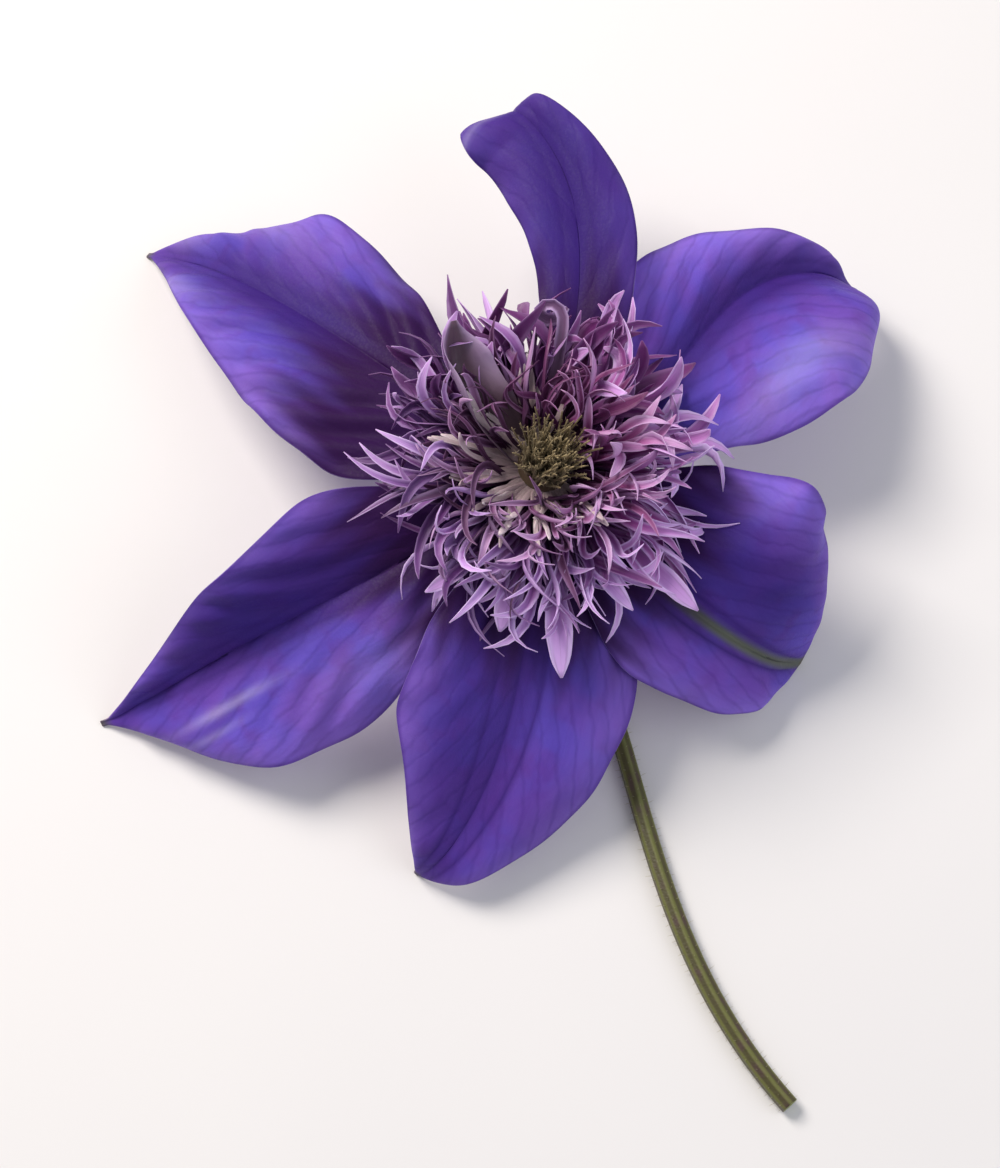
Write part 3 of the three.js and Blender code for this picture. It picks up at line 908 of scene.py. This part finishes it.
@dataclass(frozen=True)
class Perianth:
    """The six tepals, numbered to the left round the bloom from the one at the top."""

    tissue: TepalTissue = TepalTissue()
    tepals: tuple[Tepal, ...] = (
        Tepal("tepal_1", heading=75.6, length=48, widths=(6.3, 7.6), widest=(0.44, 0.85),
              claw=(0.85, 1.6), point=1.05, level=0.5, rise=8, fall=-6, curl=155, curl_over=(0.78, 0.96),
              skew=17, bend=61, twist=-20, fold=0.2, roll=0.3, waves=2.2, phase=0.6, wave=0.7, droop=4,
              crease=0.25, pucker=0.1, dusk=28, shade_all_over=0.7, shade_band=0.95, shade_band_width=6, crest=0.14),
        Tepal("tepal_2", heading=141.5, length=56.7, widths=(11.5, 14), widest=(0.51, 0.27),
              claw=(2.1, 1.2), point=1.15, level=-0.5, rise=12, fall=17.5, curl=17.5,
              curl_over=(0.56, 1), bend=2.6, twist=6.5, fold=0.32, roll=0.3, waves=2.6, phase=2.1,
              wave=2, crease=0.4, pucker=0.42, dusk=37, shade_all_over=0.22, shade_band=0.9, shade_band_width=5,
              gleams=((0.7, -7, 0.12, 2, 0.08), (0.82, 4.5, 0.1, 1.4, 0.14),
                      (0.9, -2.5, 0.06, 1.2, 0.12))),
        Tepal("tepal_3", heading=213.5, length=53.4, widths=(11.3, 13.4), widest=(0.37, 0.53),
              claw=(1.3, 1.8), point=1.22, level=-0.5, rise=14, fall=23, curl=6, curl_over=(0.56, 1),
              bend=-3, twist=-19, fold=0.5, roll=0.34, waves=2.3, phase=4, wave=1.6, crease=1.0,
              pucker=0.4, stray=-0.16, dusk=28, shade_all_over=0.2, shade_band=0.9, shade_band_at=-4.5, shade_band_width=6.5,
              gleams=((0.7, 4.6, 0.1, 0.5, 0.32), (0.76, 6.6, 0.07, 0.45, 0.2),
                      (0.4, 8, 0.16, 3, 0.07))),
        Tepal("tepal_4", heading=267.4, length=45, widths=(12, 12.8), widest=(0.47, 0.39),
              claw=(0.92, 1), point=0.97, level=-0.5, rise=12, fall=14.7, curl=60, curl_over=(0.8, 1),
              bend=-29, twist=-1, fold=0.24, roll=0.3, waves=2.4, phase=0.3, wave=1.3, crease=0.3,
              pucker=0.12, nerve_gap=2.6, nerves=1.1, shade_all_over=0.36, shade_band=0.8, shade_band_at=-4.5, shade_band_width=6),
        Tepal("tepal_5", heading=318, length=38, widths=(9.4, 18.2), widest=(0.46, 0.55),
              claw=(1.1, 0.7), point=0.72, level=0.5, rise=5, fall=12.6, curl=60, curl_over=(0.4, 1),
              bend=18, twist=15, fold=0.24, roll=0.26, waves=2.5, phase=5.5, wave=1.3, crease=0.3,
              pucker=0.14, nerves=1.3, shade_all_over=0.06, shade_band=0.85, shade_band_at=6.5, shade_band_width=8, rib=0.95),
        Tepal("tepal_6", heading=38, length=49.8, widths=(12.5, 13.6), widest=(0.58, 0.43),
              claw=(0.9, 1.2), point=1.3, level=-0.5, rise=12, fall=18, curl=56, curl_over=(0.7, 1),
              bend=-12.7, twist=-2, fold=0.46, roll=0.36, waves=2.4, phase=3.1, wave=1.5, crease=0.8,
              pucker=0.24, stray=0.5, dusk=19, shade_all_over=0.06, shade_band=0.78, shade_band_at=-0.5, shade_band_width=4.2,
              gleams=((0.56, -10.5, 0.18, 2.6, 0.2), (0.72, 6, 0.12, 2.2, 0.05))))

    def build(self) -> None:
        """Makes the tepals, all of one tissue."""
        material = self.tissue.material()
        for index, tepal in enumerate(self.tepals):
            seat_piece(tepal.build(index, material), tepal.node)


# ---- Staminodes ----


@dataclass(frozen=True)
class Strap:
    """One narrow petal-like blade, in the bloom's frame."""

    around: float  # its heading round the bloom's axis
    lean: float  # its angle from that axis
    root_radius: float
    root_height: float
    length: float
    half_width: float
    bow: float = 0.0  # how much it turns up, towards the axis
    sweep: float = 0.0  # and to its left
    sway: float = 0.0  # how far it swings from side to side on the way
    lag: float = 0.0  # and where in the swing it starts
    twist: float = 0.0  # roll at the root
    spiral: float = 0.0  # roll from root to tip
    hook: float = 0.0  # what its last third turns up
    crook: float = 0.0  # and to its left
    channel: float = 0.5  # how far its edges stand up, as a share of its half width
    thickness: float = 0.24
    cut: Cut = Cut.STRAP
    warmth: float = 0.5
    paleness: float = 0.5
    age: float = 0.0

    RIPPLE = 0.16  # how far its margins wave, as a share of its half width

    def add_to(self, skin: Skin, rows: int = 15, columns: int = 7) -> None:
        """Adds the strap's blade to a whorl.

        Args:
            skin: The whorl's mesh.
            rows: Points along the strap.
            columns: Points across it.
        """
        s = np.linspace(0, 1, rows)
        t = np.linspace(-1, 1, columns)
        pitch = np.radians(self.bow * s + self.hook * smoothstep(s, 0.6, 1))
        swing = self.sway * np.sin(2 * math.pi * (0.85 * s + self.lag))
        yaw = np.radians(self.sweep * s + swing + self.crook * smoothstep(s, 0.55, 1))
        forward = unit(np.column_stack([np.cos(pitch) * np.cos(yaw), np.sin(yaw), np.sin(pitch)]))
        steps = (forward[1:] + forward[:-1]) / 2 * self.length / (rows - 1)
        places = np.vstack([np.zeros(3), np.cumsum(steps, axis=0)])
        left = unit(np.cross(UP, forward))
        up = np.cross(forward, left)
        roll = np.radians(self.spiral * s)[:, None]
        left, up = left * np.cos(roll) + up * np.sin(roll), up * np.cos(roll) - left * np.sin(roll)
        shares, widths = zip(*self.cut.value)
        half = self.half_width * np.interp(s, shares, widths)
        half[1:-1] = (half[:-2] + 2 * half[1:-1] + half[2:]) / 4
        x = half[:, None] * t
        wave = self.RIPPLE * np.sin(2 * math.pi * 2.3 * s + self.around)[:, None]
        ripple = wave * np.abs(t) ** 3 * np.sign(t)
        trough = self.channel * (t ** 2 - 0.3) * smoothstep(1 - s, 0, 0.3)[:, None]
        lift = half[:, None] * (trough + ripple)
        middle = places[:, None] + left[:, None] * x[..., None] + up[:, None] * lift[..., None]
        thickness = self.thickness * (1 - 0.55 * t ** 2)[None, :] * (1 - 0.5 * s)[:, None]
        points, faces = blade(middle, thickness)
        root = polar(self.around, self.root_radius, self.root_height)
        skin.add(from_bloom(points @ self.axes().T + root), faces, blade=blade_values(s, t),
                 tone=(self.warmth, self.paleness, self.age))

    def axes(self) -> np.ndarray:
        """The strap's ahead, left and up at its root, as the columns of a matrix."""
        lean = math.radians(self.lean)
        ahead = polar(self.around, math.sin(lean), math.cos(lean))
        left = rotation(self.twist, Vector(ahead)) @ np.cross(UP, polar(self.around))
        return np.column_stack([ahead, left, np.cross(ahead, left)])


@dataclass(frozen=True)
class Whorl:
    """A ring of staminodes, from the outermost and lowest in. Each pair runs from first to last."""

    node: str
    piece: str
    slot: Slot
    tissue: StaminodeTissue
    count: int
    lean: tuple[float, float]
    length: tuple[float, float]
    half_width: tuple[float, float]
    bow: tuple[float, float]
    root_radius: tuple[float, float]
    root_height: tuple[float, float]
    ring: Outline  # the low ring that they stand on
    spoon_share: float = 0.4  # how many are cut broad at the tip
    laid_open: float = 0.0  # how much further the blades lean on the open side
    more: tuple[Strap, ...] = ()

    # What varies from blade to blade: how far in all, and the step of its scatter.
    SPREADS = {
        "around": (14, 0.2236), "lean": (16, 0.7548), "bow": (56, 0.3247), "sweep": (70, 0.8191),
        "sway": (84, 0.1783), "twist": (110, 0.6823), "spiral": (170, 0.1459), "hook": (130, 0.9081),
        "crook": (190, 0.5306), "channel": (0.8, 0.2764)}
    LENGTH_SPREAD = 0.44
    WIDTH_SPREAD = 0.6
    SPOON_WIDTH = 1.5  # how many times as broad a spoon is

    def strap(self, i: int) -> Strap:
        """One blade of the whorl.

        Args:
            i: Its number. Each stands a golden angle on from the last.

        Returns:
            The blade.
        """
        inward = (i + 0.5) / self.count
        around = i * GOLDEN_ANGLE
        # The side towards +X and +Y is pinker. The far side is laid more open.
        warmth = 0.5 + 0.5 * facing(around, 28)
        lag = 0.5 + 0.5 * facing(around, 10) + 0.5 * scatter(i, 0.7213)
        lean = mix(*self.lean, inward) + self.laid_open * max(0.0, facing(around, 195))
        # Those that hang towards +X and -Y are the palest, partly their own tone and partly painted
        # light where they hang away from the key lamp; those at +Y are the darkest.
        paleness = 0.56 + 0.36 * facing(around, -35) + 1.4 * scatter(i, 0.6096)
        paleness -= 0.5 * max(0.0, facing(around, 78)) ** 3
        spoon = scatter(i, 0.3819) + 0.5 < self.spoon_share
        broad = 1 + self.WIDTH_SPREAD * scatter(i, 0.4656)
        turns = varied(i, {"around": around, "lean": lean, "bow": mix(*self.bow, inward),
                           "channel": 0.8}, self.SPREADS)
        return Strap(
            **turns,
            root_radius=mix(*self.root_radius, inward),
            root_height=mix(*self.root_height, inward),
            length=mix(*self.length, inward) * (1 + self.LENGTH_SPREAD * scatter(i, 0.5698)),
            half_width=mix(*self.half_width, inward) * broad * (self.SPOON_WIDTH if spoon else 1),
            lag=clipped(lag),
            cut=Cut.SPOON if spoon else Cut.STRAP,
            warmth=clipped(warmth + 0.5 * scatter(i, 0.7213)),
            paleness=clipped(paleness),
            age=max(0.0, 1.4 * scatter(i, 0.4472) - 0.3) * (1.3 - warmth))

    def build(self) -> None:
        """Makes the whorl as one piece."""
        skin = Skin()
        skin.add(*turned(self.ring, 3, 48), blade=(0, 0, 1), tone=(0.5, 0, 0))
        for i in range(self.count):
            self.strap(i).add_to(skin)
        for strap in self.more:
            strap.add_to(skin, rows=24, columns=11)
        seat_piece(skin.to_object(self.piece, self.tissue.material()), self.node)


@dataclass(frozen=True)
class Filaments:
    """The thin pale filaments that arch round the pistils, most of them over the open side."""

    tissue: StaminodeTissue = StaminodeTissue(
        "Dry filament tissue", claw="#a08a8e", body="#c8b2b8", warm="#c8aeb6", tip="#decdd2",
        edge="#e2d2d6")
    count: int = 60

    MIDDLES = {"around": 205, "lean": 62, "length": 8.5, "bow": 10, "lag": 0.5, "warmth": 0.5,
               "paleness": 0.5}
    SPREADS = {
        "around": (230, 0.618), "lean": (36, 0.3819), "length": (5, 0.5698), "bow": (40, 0.3247),
        "sweep": (60, 0.8191), "sway": (30, 0.1783), "lag": (1, 0.21), "twist": (60, 0.6823),
        "hook": (60, 0.9081), "warmth": (1, 0.21), "paleness": (1, 0.77)}

    def build(self) -> None:
        """Makes them as one piece, which stands with the inner whorl."""
        skin = Skin()
        for i in range(self.count):
            strap = Strap(root_radius=2.6, root_height=5.0, half_width=0.3, channel=0.2, thickness=0.4,
                          cut=Cut.THREAD, **varied(i, self.MIDDLES, self.SPREADS))
            strap.add_to(skin, rows=16, columns=5)
        piece = skin.to_object("arching_filaments", self.tissue.material())
        seat_piece(piece, "inner_staminodes")


@dataclass(frozen=True)
class Tuft:
    """The tuft of staminodes in its two whorls, and the filaments round the middle.

    The outer whorl has more straps of its own: the broad spoons that hang over the lower tepals,
    the hooded blade and the loop.
    """

    outer: Whorl = Whorl(
        node="outer_staminodes", piece="outer_staminode_whorl", slot=Slot.OUTER,
        tissue=StaminodeTissue("Mauve staminode tissue", claw="#3a0e46", body="#80529c",
                               warm="#bc56ae", tip="#d4aae8", edge="#dfc2f4"),
        count=240, lean=(83, 56), length=(16.1, 15.0), half_width=(0.58, 0.48), bow=(-16, 6),
        root_radius=(4.6, 3.7), root_height=(2.2, 2.6),
        ring=((0.3, 2.9), (3, 2.9), (4.6, 2.9), (5.5, 2.5), (5.7, 2), (4.6, 1.4), (0.3, 1.4)),
        more=(
            Strap(around=-104, lean=78, root_radius=4.2, root_height=2.8, length=14.5, half_width=1.5,
                  bow=-8, hook=-20, cut=Cut.SPOON, warmth=0.3, paleness=1.0),
            Strap(around=-112, lean=62, root_radius=4.0, root_height=3.2, length=11.5, half_width=1.0,
                  bow=-6, hook=-30, cut=Cut.SPOON, warmth=0.4, paleness=1.0),
            Strap(around=-66, lean=74, root_radius=4.2, root_height=2.9, length=14.5, half_width=1.0,
                  bow=-6, sweep=20, hook=-14, cut=Cut.SPOON, warmth=0.5, paleness=1.0),
            Strap(around=-122, lean=78, root_radius=4.3, root_height=2.8, length=15.5, half_width=0.9,
                  bow=-6, sweep=-24, hook=20, cut=Cut.SPOON, warmth=0.3, paleness=0.9),
            Strap(around=-84, lean=80, root_radius=4.4, root_height=2.6, length=18.5, half_width=1.5,
                  bow=-14, hook=-16, cut=Cut.SPOON, warmth=0.3, paleness=1.0),
            Strap(around=-42, lean=76, root_radius=4.4, root_height=2.6, length=18.5, half_width=1.25,
                  bow=-12, hook=-10, cut=Cut.SPOON, warmth=0.5, paleness=0.8),
            Strap(around=150, lean=46, root_radius=3.4, root_height=4.4, length=17, half_width=2.8,
                  bow=-34, sweep=-46, hook=36, channel=1.35, cut=Cut.HOOD, warmth=0.0, paleness=0.0,
                  age=1.0),
            Strap(around=84, lean=58, root_radius=4.0, root_height=2.9, length=21.5, half_width=0.8,
                  bow=-20, crook=330, cut=Cut.THREAD, warmth=0.2, paleness=0.4, age=0.6)))
    inner: Whorl = Whorl(
        node="inner_staminodes", piece="inner_staminode_whorl", slot=Slot.INNER,
        tissue=StaminodeTissue("Plum staminode tissue", claw="#320c2e", body="#7c507c",
                               warm="#b4509c", tip="#c89ecc", edge="#d2acd8"),
        count=150, lean=(54, 30), length=(13.4, 11.3), half_width=(0.44, 0.37), bow=(6, 24),
        root_radius=(3.4, 2.8), root_height=(4.0, 4.4), spoon_share=0.15, laid_open=22,
        ring=((0.3, 4.8), (2.2, 4.8), (3.4, 4.8), (4.1, 4.5), (4.6, 3.9), (4, 3.4), (0.3, 3.4)))
    filaments: Filaments = Filaments()

    def build(self) -> None:
        """Makes the whorls and then the filaments."""
        for part in (self.outer, self.inner, self.filaments):
            part.build()


# ---- Pistils ----


HAIR_FACES = ring_faces(3, 3)


@dataclass(frozen=True)
class PistilTuft:
    """The tuft of hairy styles in the middle, on its low cap. Each pair runs from the outermost in."""

    tissue: StyleTissue = StyleTissue()
    count: int = 110
    length: tuple[float, float] = (8.2, 7.2)
    lean: tuple[float, float] = (13, 1)
    radii: tuple[float, float] = (0.2, 0.07)  # of a style at its foot and at its tip
    foot_radius: float = 2.3  # of the ring that the outermost stand on
    foot_height: float = 6.3
    hairs_each: int = 14
    hair_length: float = 0.5
    hair_radius: float = 0.035
    cap: Outline = ((0.02, 6.9), (1.4, 6.7), (2.4, 6.2), (2.9, 5.5), (2.5, 5.1), (0.3, 5.1))

    STATIONS = 9
    SIDES = 6
    HAIR_TAPER = np.array([1, 0.8, 0.3])

    def style(self, i: int) -> np.ndarray:
        """The middle line of one style.

        Args:
            i: Its number.

        Returns:
            Points from its foot to its tip, in the bloom's frame.
        """
        inward = (i + 0.5) / self.count
        outward = polar(i * GOLDEN_ANGLE)
        foot_radius = self.foot_radius * math.sqrt(1 - inward)
        lean = math.radians(mix(*self.lean, inward) + 14 * scatter(i, 0.7548))
        length = mix(*self.length, inward) * (1 + 0.2 * scatter(i, 0.5698))
        s = np.linspace(0, 1, self.STATIONS)[:, None]
        foot = outward * foot_radius + UP * (self.foot_height - 0.2 * foot_radius)
        ahead = outward * math.sin(lean) + UP * math.cos(lean)
        aside = np.cross(UP, outward)
        curve = outward * 1.6 * scatter(i, 0.3247) + aside * 2.2 * scatter(i, 0.8191)
        return foot + ahead * length * s + curve * s ** 2

    def build(self) -> None:
        """Makes the cap, the styles and their hairs as one piece."""
        skin = Skin()
        skin.add(*turned(self.cap, 3, 32), tone=(0, 0, 1))
        faces = ring_faces(self.STATIONS, self.SIDES)
        s = np.linspace(0, 1, self.STATIONS)
        # A style swells a little just below its tip.
        radii = mix(*self.radii, s) * (1 + 0.35 * np.exp(-((s - 0.93) / 0.07) ** 2))
        along = np.repeat(s, self.SIDES)
        for i in range(self.count):
            route = self.style(i)
            # Painted shade: the outer styles are darker so that the tuft reads as a rounded knob, and
            # the scatter adds random tone.
            shade = clipped(1.1 - 1.3 * i / self.count + scatter(i, 0.31))
            tone = np.column_stack([along, np.zeros_like(along), np.full_like(along, shade)])
            skin.add(from_bloom(tube(route, radii, self.SIDES)), faces, tone=tone)
            self.add_hairs(skin, route, i, shade)
        piece = skin.to_object("pistil_styles", self.tissue.material())
        seat_piece(piece, "pistil_tuft")

    def add_hairs(self, skin: Skin, route: np.ndarray, i: int, shade: float) -> None:
        """Adds one style's silky hairs.

        Args:
            skin: The tuft's mesh.
            route: The style's middle line.
            i: Its number.
            shade: How dark it is, from 0 to 1, as painted shade on the outer styles and some random
                tone.
        """
        for k in range(self.hairs_each):
            seed = i * self.hairs_each + k
            share = 0.25 + 0.7 * (k + 0.5) / self.hairs_each
            foot = through(route, np.array([share]))[0]
            aim = unit(polar(seed * GOLDEN_ANGLE, height=0.9 + scatter(seed, 0.43)))
            tip = foot + aim * self.hair_length * (1 + 0.6 * scatter(seed, 0.57))
            line = np.array([foot, (foot + tip) / 2 + 0.05 * UP, tip])
            skin.add(from_bloom(tube(line, self.hair_radius * self.HAIR_TAPER, 3)), HAIR_FACES,
                     tone=(share, 0.75 - 0.5 * shade, shade))


# ---- Stalk ----


@dataclass(frozen=True)
class Stalk:
    """The stalk, from the receptacle down, round its bend and along the surface."""

    rind: StalkRind = StalkRind()
    radius: float = 1.05
    neck: float = 0.25  # how much thicker it is at the top
    neck_run: float = 0.088  # share of the length in which that fades
    rib: float = 0.1  # how deep the grooves between the ribs are
    ribs: int = 6
    sides: int = 60
    rings: int = 260
    start: float = 1.6  # how far below the seat it begins
    drop: float = 12.0  # how far it runs straight out of the bloom
    # [x, y] from the seat: the pull of the bend, the landing, two pulls and the end.
    on_surface: tuple[tuple[float, float], ...] = ((2, -5), (7, -18), (12, -31), (13, -50), (27, -66))
    # The cut end's rings, each by its share of the radius and how far it stands out.
    cut_rings: tuple[tuple[float, float], ...] = ((0.94, 0.05), (0.8, 0.03), (0.55, -0.03), (0.2, -0.06))
    receptacle: Outline = (
        (0.3, 4.8), (1.5, 4.8), (1.9, 4.4), (1.9, 1.3), (3.9, 1.1), (4.2, 0.8), (4.2, -0.8),
        (3.2, -1.2), (2, -1.4), (1.4, -1.55), (0.6, -1.6))
    hairs: int = 620
    hair_length: float = 0.55
    hair_radius: float = 0.028

    HAIR_TAPER = np.array([1, 0.75, 0.3])

    def route(self) -> np.ndarray:
        """The stalk's middle line, evenly spaced, in the frame of the whole part."""
        top = SEAT - self.start * BLOOM_AXIS
        bend, landing, *rest = (
            np.array([SEAT[0] + x, SEAT[1] + y, self.radius]) for x, y in self.on_surface)
        u = np.linspace(0, 1, 400)[:, None]
        parts = []
        for a, b, c, d in ((top, top - self.drop * BLOOM_AXIS, bend, landing), (landing, *rest)):
            parts.append((1 - u) ** 3 * a + 3 * u * (1 - u) ** 2 * b + 3 * u * u * (1 - u) * c
                         + u ** 3 * d)
        line = np.vstack([parts[0], parts[1][1:]])
        run = np.concatenate([[0], np.cumsum(np.linalg.norm(np.diff(line, axis=0), axis=1))])
        even = np.linspace(0, run[-1], self.rings)
        return np.column_stack([np.interp(even, run, line[:, k]) for k in range(3)])

    def build(self) -> None:
        """Makes the stalk with its cut end and its down, and the receptacle."""
        skin = Skin()
        route = self.route()
        s = np.linspace(0, 1, self.rings)
        radii = self.radius + self.neck * np.exp(-s / self.neck_run)
        angle = np.arange(self.sides) * 2 * math.pi / self.sides
        groove = (1 - np.cos(self.ribs * angle)) / 2
        ribs = -self.rib * groove ** 0.7
        points = tube(route, radii, self.sides, ribs)
        grooves = np.tile(1 - groove, self.rings)
        shell = np.column_stack([np.repeat(s, self.sides), grooves, np.zeros(len(points))])
        faces = ring_faces(self.rings, self.sides, capped=False)
        skin.add(points, faces + [tuple(range(self.sides - 1, -1, -1))], rind=shell, cut=(0, 0, 0))
        self.add_cut_end(skin, points[-self.sides:], route[-1], unit(route[-1] - route[-2]))
        skin.add(*turned(self.receptacle, 4, 56), rind=(0, 0.2, 0), cut=(0, 0, 0))
        self.add_down(skin, points.reshape(self.rings, self.sides, 3), route)
        piece = skin.to_object("stalk_and_receptacle", self.rind.material())
        seat_piece(piece, "stalk")

    def add_cut_end(self, skin: Skin, rim: np.ndarray, middle: np.ndarray, ahead: np.ndarray) -> None:
        """Closes the end with the fresh cut: a thin rind round pale pith, sunk a little.

        Args:
            skin: The stalk's mesh, whose last points are the rim.
            rim: The stalk's last ring.
            middle: The middle of that ring.
            ahead: The way out of the end.
        """
        points = np.vstack([
            middle + (rim - middle) * share + ahead * out for share, out in self.cut_rings])
        depths = np.repeat([share for share, _ in self.cut_rings], self.sides)
        values = np.column_stack([depths, np.zeros(len(points)), np.ones(len(points))])
        start = skin.count
        skin.add(points, ring_faces(len(self.cut_rings), self.sides, capped=False), rind=(1, 0, 0),
                 cut=values)
        joint = ring_faces(2, self.sides, capped=False)
        skin.faces.extend(tuple(start - self.sides + k for k in face) for face in joint)
        skin.faces.append(tuple(range(skin.count - self.sides, skin.count)))

    def add_down(self, skin: Skin, points: np.ndarray, route: np.ndarray) -> None:
        """Adds the short hairs that stand out of the stalk's ribs, thickest near the bloom.

        Args:
            skin: The stalk's mesh.
            points: The stalk's own points, ring by ring.
            route: Its middle line.
        """
        for i in range(self.hairs):
            share = ((i + 0.5) / self.hairs) ** 1.35
            ring = min(self.rings - 1, int(share * (self.rings - 1)))
            side = int(self.sides * (i * 0.618034 % 1))
            foot = points[ring, side]
            out = unit(foot - route[ring])
            length = self.hair_length * (1 + 0.8 * scatter(i, 0.57))
            aim = out + 0.5 * unit(np.gradient(route, axis=0)[ring]) * scatter(i, 0.43)
            tip = foot + unit(aim) * length
            tip[2] = max(tip[2], self.hair_radius)
            line = np.array([foot - out * 0.05, (foot + tip) / 2 + 0.04 * UP, tip])
            skin.add(tube(line, self.hair_radius * self.HAIR_TAPER, 3), HAIR_FACES,
                     rind=(share, 0, 0.8), cut=(0, 0, 0))


# ---- The part and its studio ----


def seat_piece(piece: bpy.types.Object, node: str) -> None:
    """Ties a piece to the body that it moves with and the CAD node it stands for.

    Args:
        piece: The finished piece.
        node: The CAD node.
    """
    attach(piece, BODY)
    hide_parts(node)
    LOG.info("%s stands for %s: %d points", piece.name, node, len(piece.data.vertices))


@dataclass(frozen=True)
class Studio:
    """A plain pale floor, soft light from the upper left, and the camera at the photograph's angle."""

    floor_colours: tuple[str, str] = ("#e0dedd", "#e4e2e0")
    floor_reach: float = 3000.0
    elevation: float = 72.0  # how far the camera looks down
    distance: float = 320.0
    lens: float = 90.0
    frame_middle: tuple[float, float, float] = (0.6, 0.5, 12.0)
    sky: float = 0.4  # strength of the light from all round
    sky_colour: str = "#f4f6ff"

    def build(self) -> None:
        """Makes the floor, the lights and the camera."""
        self.add_floor()
        self.add_lamp("Key softbox", (-270, 235, 390), size=250, watts=3.3, colour="#fff8f0")
        self.add_lamp("Fill softbox", (340, -120, 330), size=420, watts=0.75, colour="#eef2ff")
        world = bpy.data.worlds.new("Studio")
        world.use_nodes = True
        background = world.node_tree.nodes["Background"]
        background.inputs["Color"].default_value = linear(self.sky_colour)
        background.inputs["Strength"].default_value = self.sky
        bpy.context.scene.world = world
        # The finishes hold the colours as they are to be seen, so no film curve is laid over them.
        bpy.context.scene.view_settings.view_transform = "Standard"
        self.add_camera()

    def add_floor(self) -> None:
        """A matt pale sheet under the part."""
        mesh = bpy.data.meshes.new("floor")
        reach = self.floor_reach * MM
        corners = [(-reach, -reach, 0), (reach, -reach, 0), (reach, reach, 0), (-reach, reach, 0)]
        mesh.from_pydata(corners, [], [(0, 1, 2, 3)])
        p = Painter("Matt pale paper")
        colour = p.blend(p.noise(p.object_mm(), 0.02), *self.floor_colours)
        mesh.materials.append(p.finish(colour, Roughness=0.85))
        floor = bpy.data.objects.new("floor", mesh)
        bpy.context.scene.collection.objects.link(floor)

    def add_lamp(self, name: str, place: tuple[float, float, float], size: float, watts: float,
                 colour: str) -> None:
        """A square softbox aimed at the bloom.

        Args:
            name: The lamp's name.
            place: Where it stands, from the seat.
            size: The length of its side.
            watts: Its power.
            colour: The colour of its light.
        """
        lamp = bpy.data.lights.new(name, "AREA")
        lamp.size = size * MM
        lamp.energy = watts
        lamp.color = linear(colour)[:3]
        holder = bpy.data.objects.new(name, lamp)
        holder.location = Vector(place) * MM + Vector(SEAT) * MM
        holder.rotation_euler = (-Vector(place)).to_track_quat("-Z", "Y").to_euler()
        bpy.context.scene.collection.objects.link(holder)

    def add_camera(self) -> None:
        """A long lens looking down on the bloom, with the whole stalk in view."""
        camera = bpy.data.cameras.new("Camera")
        camera.lens = self.lens
        camera.clip_start = 0.01
        holder = bpy.data.objects.new("Camera", camera)
        tilt = math.radians(self.elevation)
        back = Vector((0, -math.cos(tilt), math.sin(tilt)))
        holder.location = (Vector(self.frame_middle) + back * self.distance) * MM
        holder.rotation_euler = (-back).to_track_quat("-Z", "Y").to_euler()
        bpy.context.scene.collection.objects.link(holder)
        bpy.context.scene.camera = holder


def main() -> None:
    """Builds the bloom from its tepals in, then its stalk and the studio round it."""
    logging.basicConfig(level=logging.INFO, format="%(message)s")
    LOG.info("the frame has %d nodes", len(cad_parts))
    Perianth().build()
    Tuft().build()
    PistilTuft().build()
    Stalk().build()
    Studio().build()


if __name__ == "__main__":
    main()
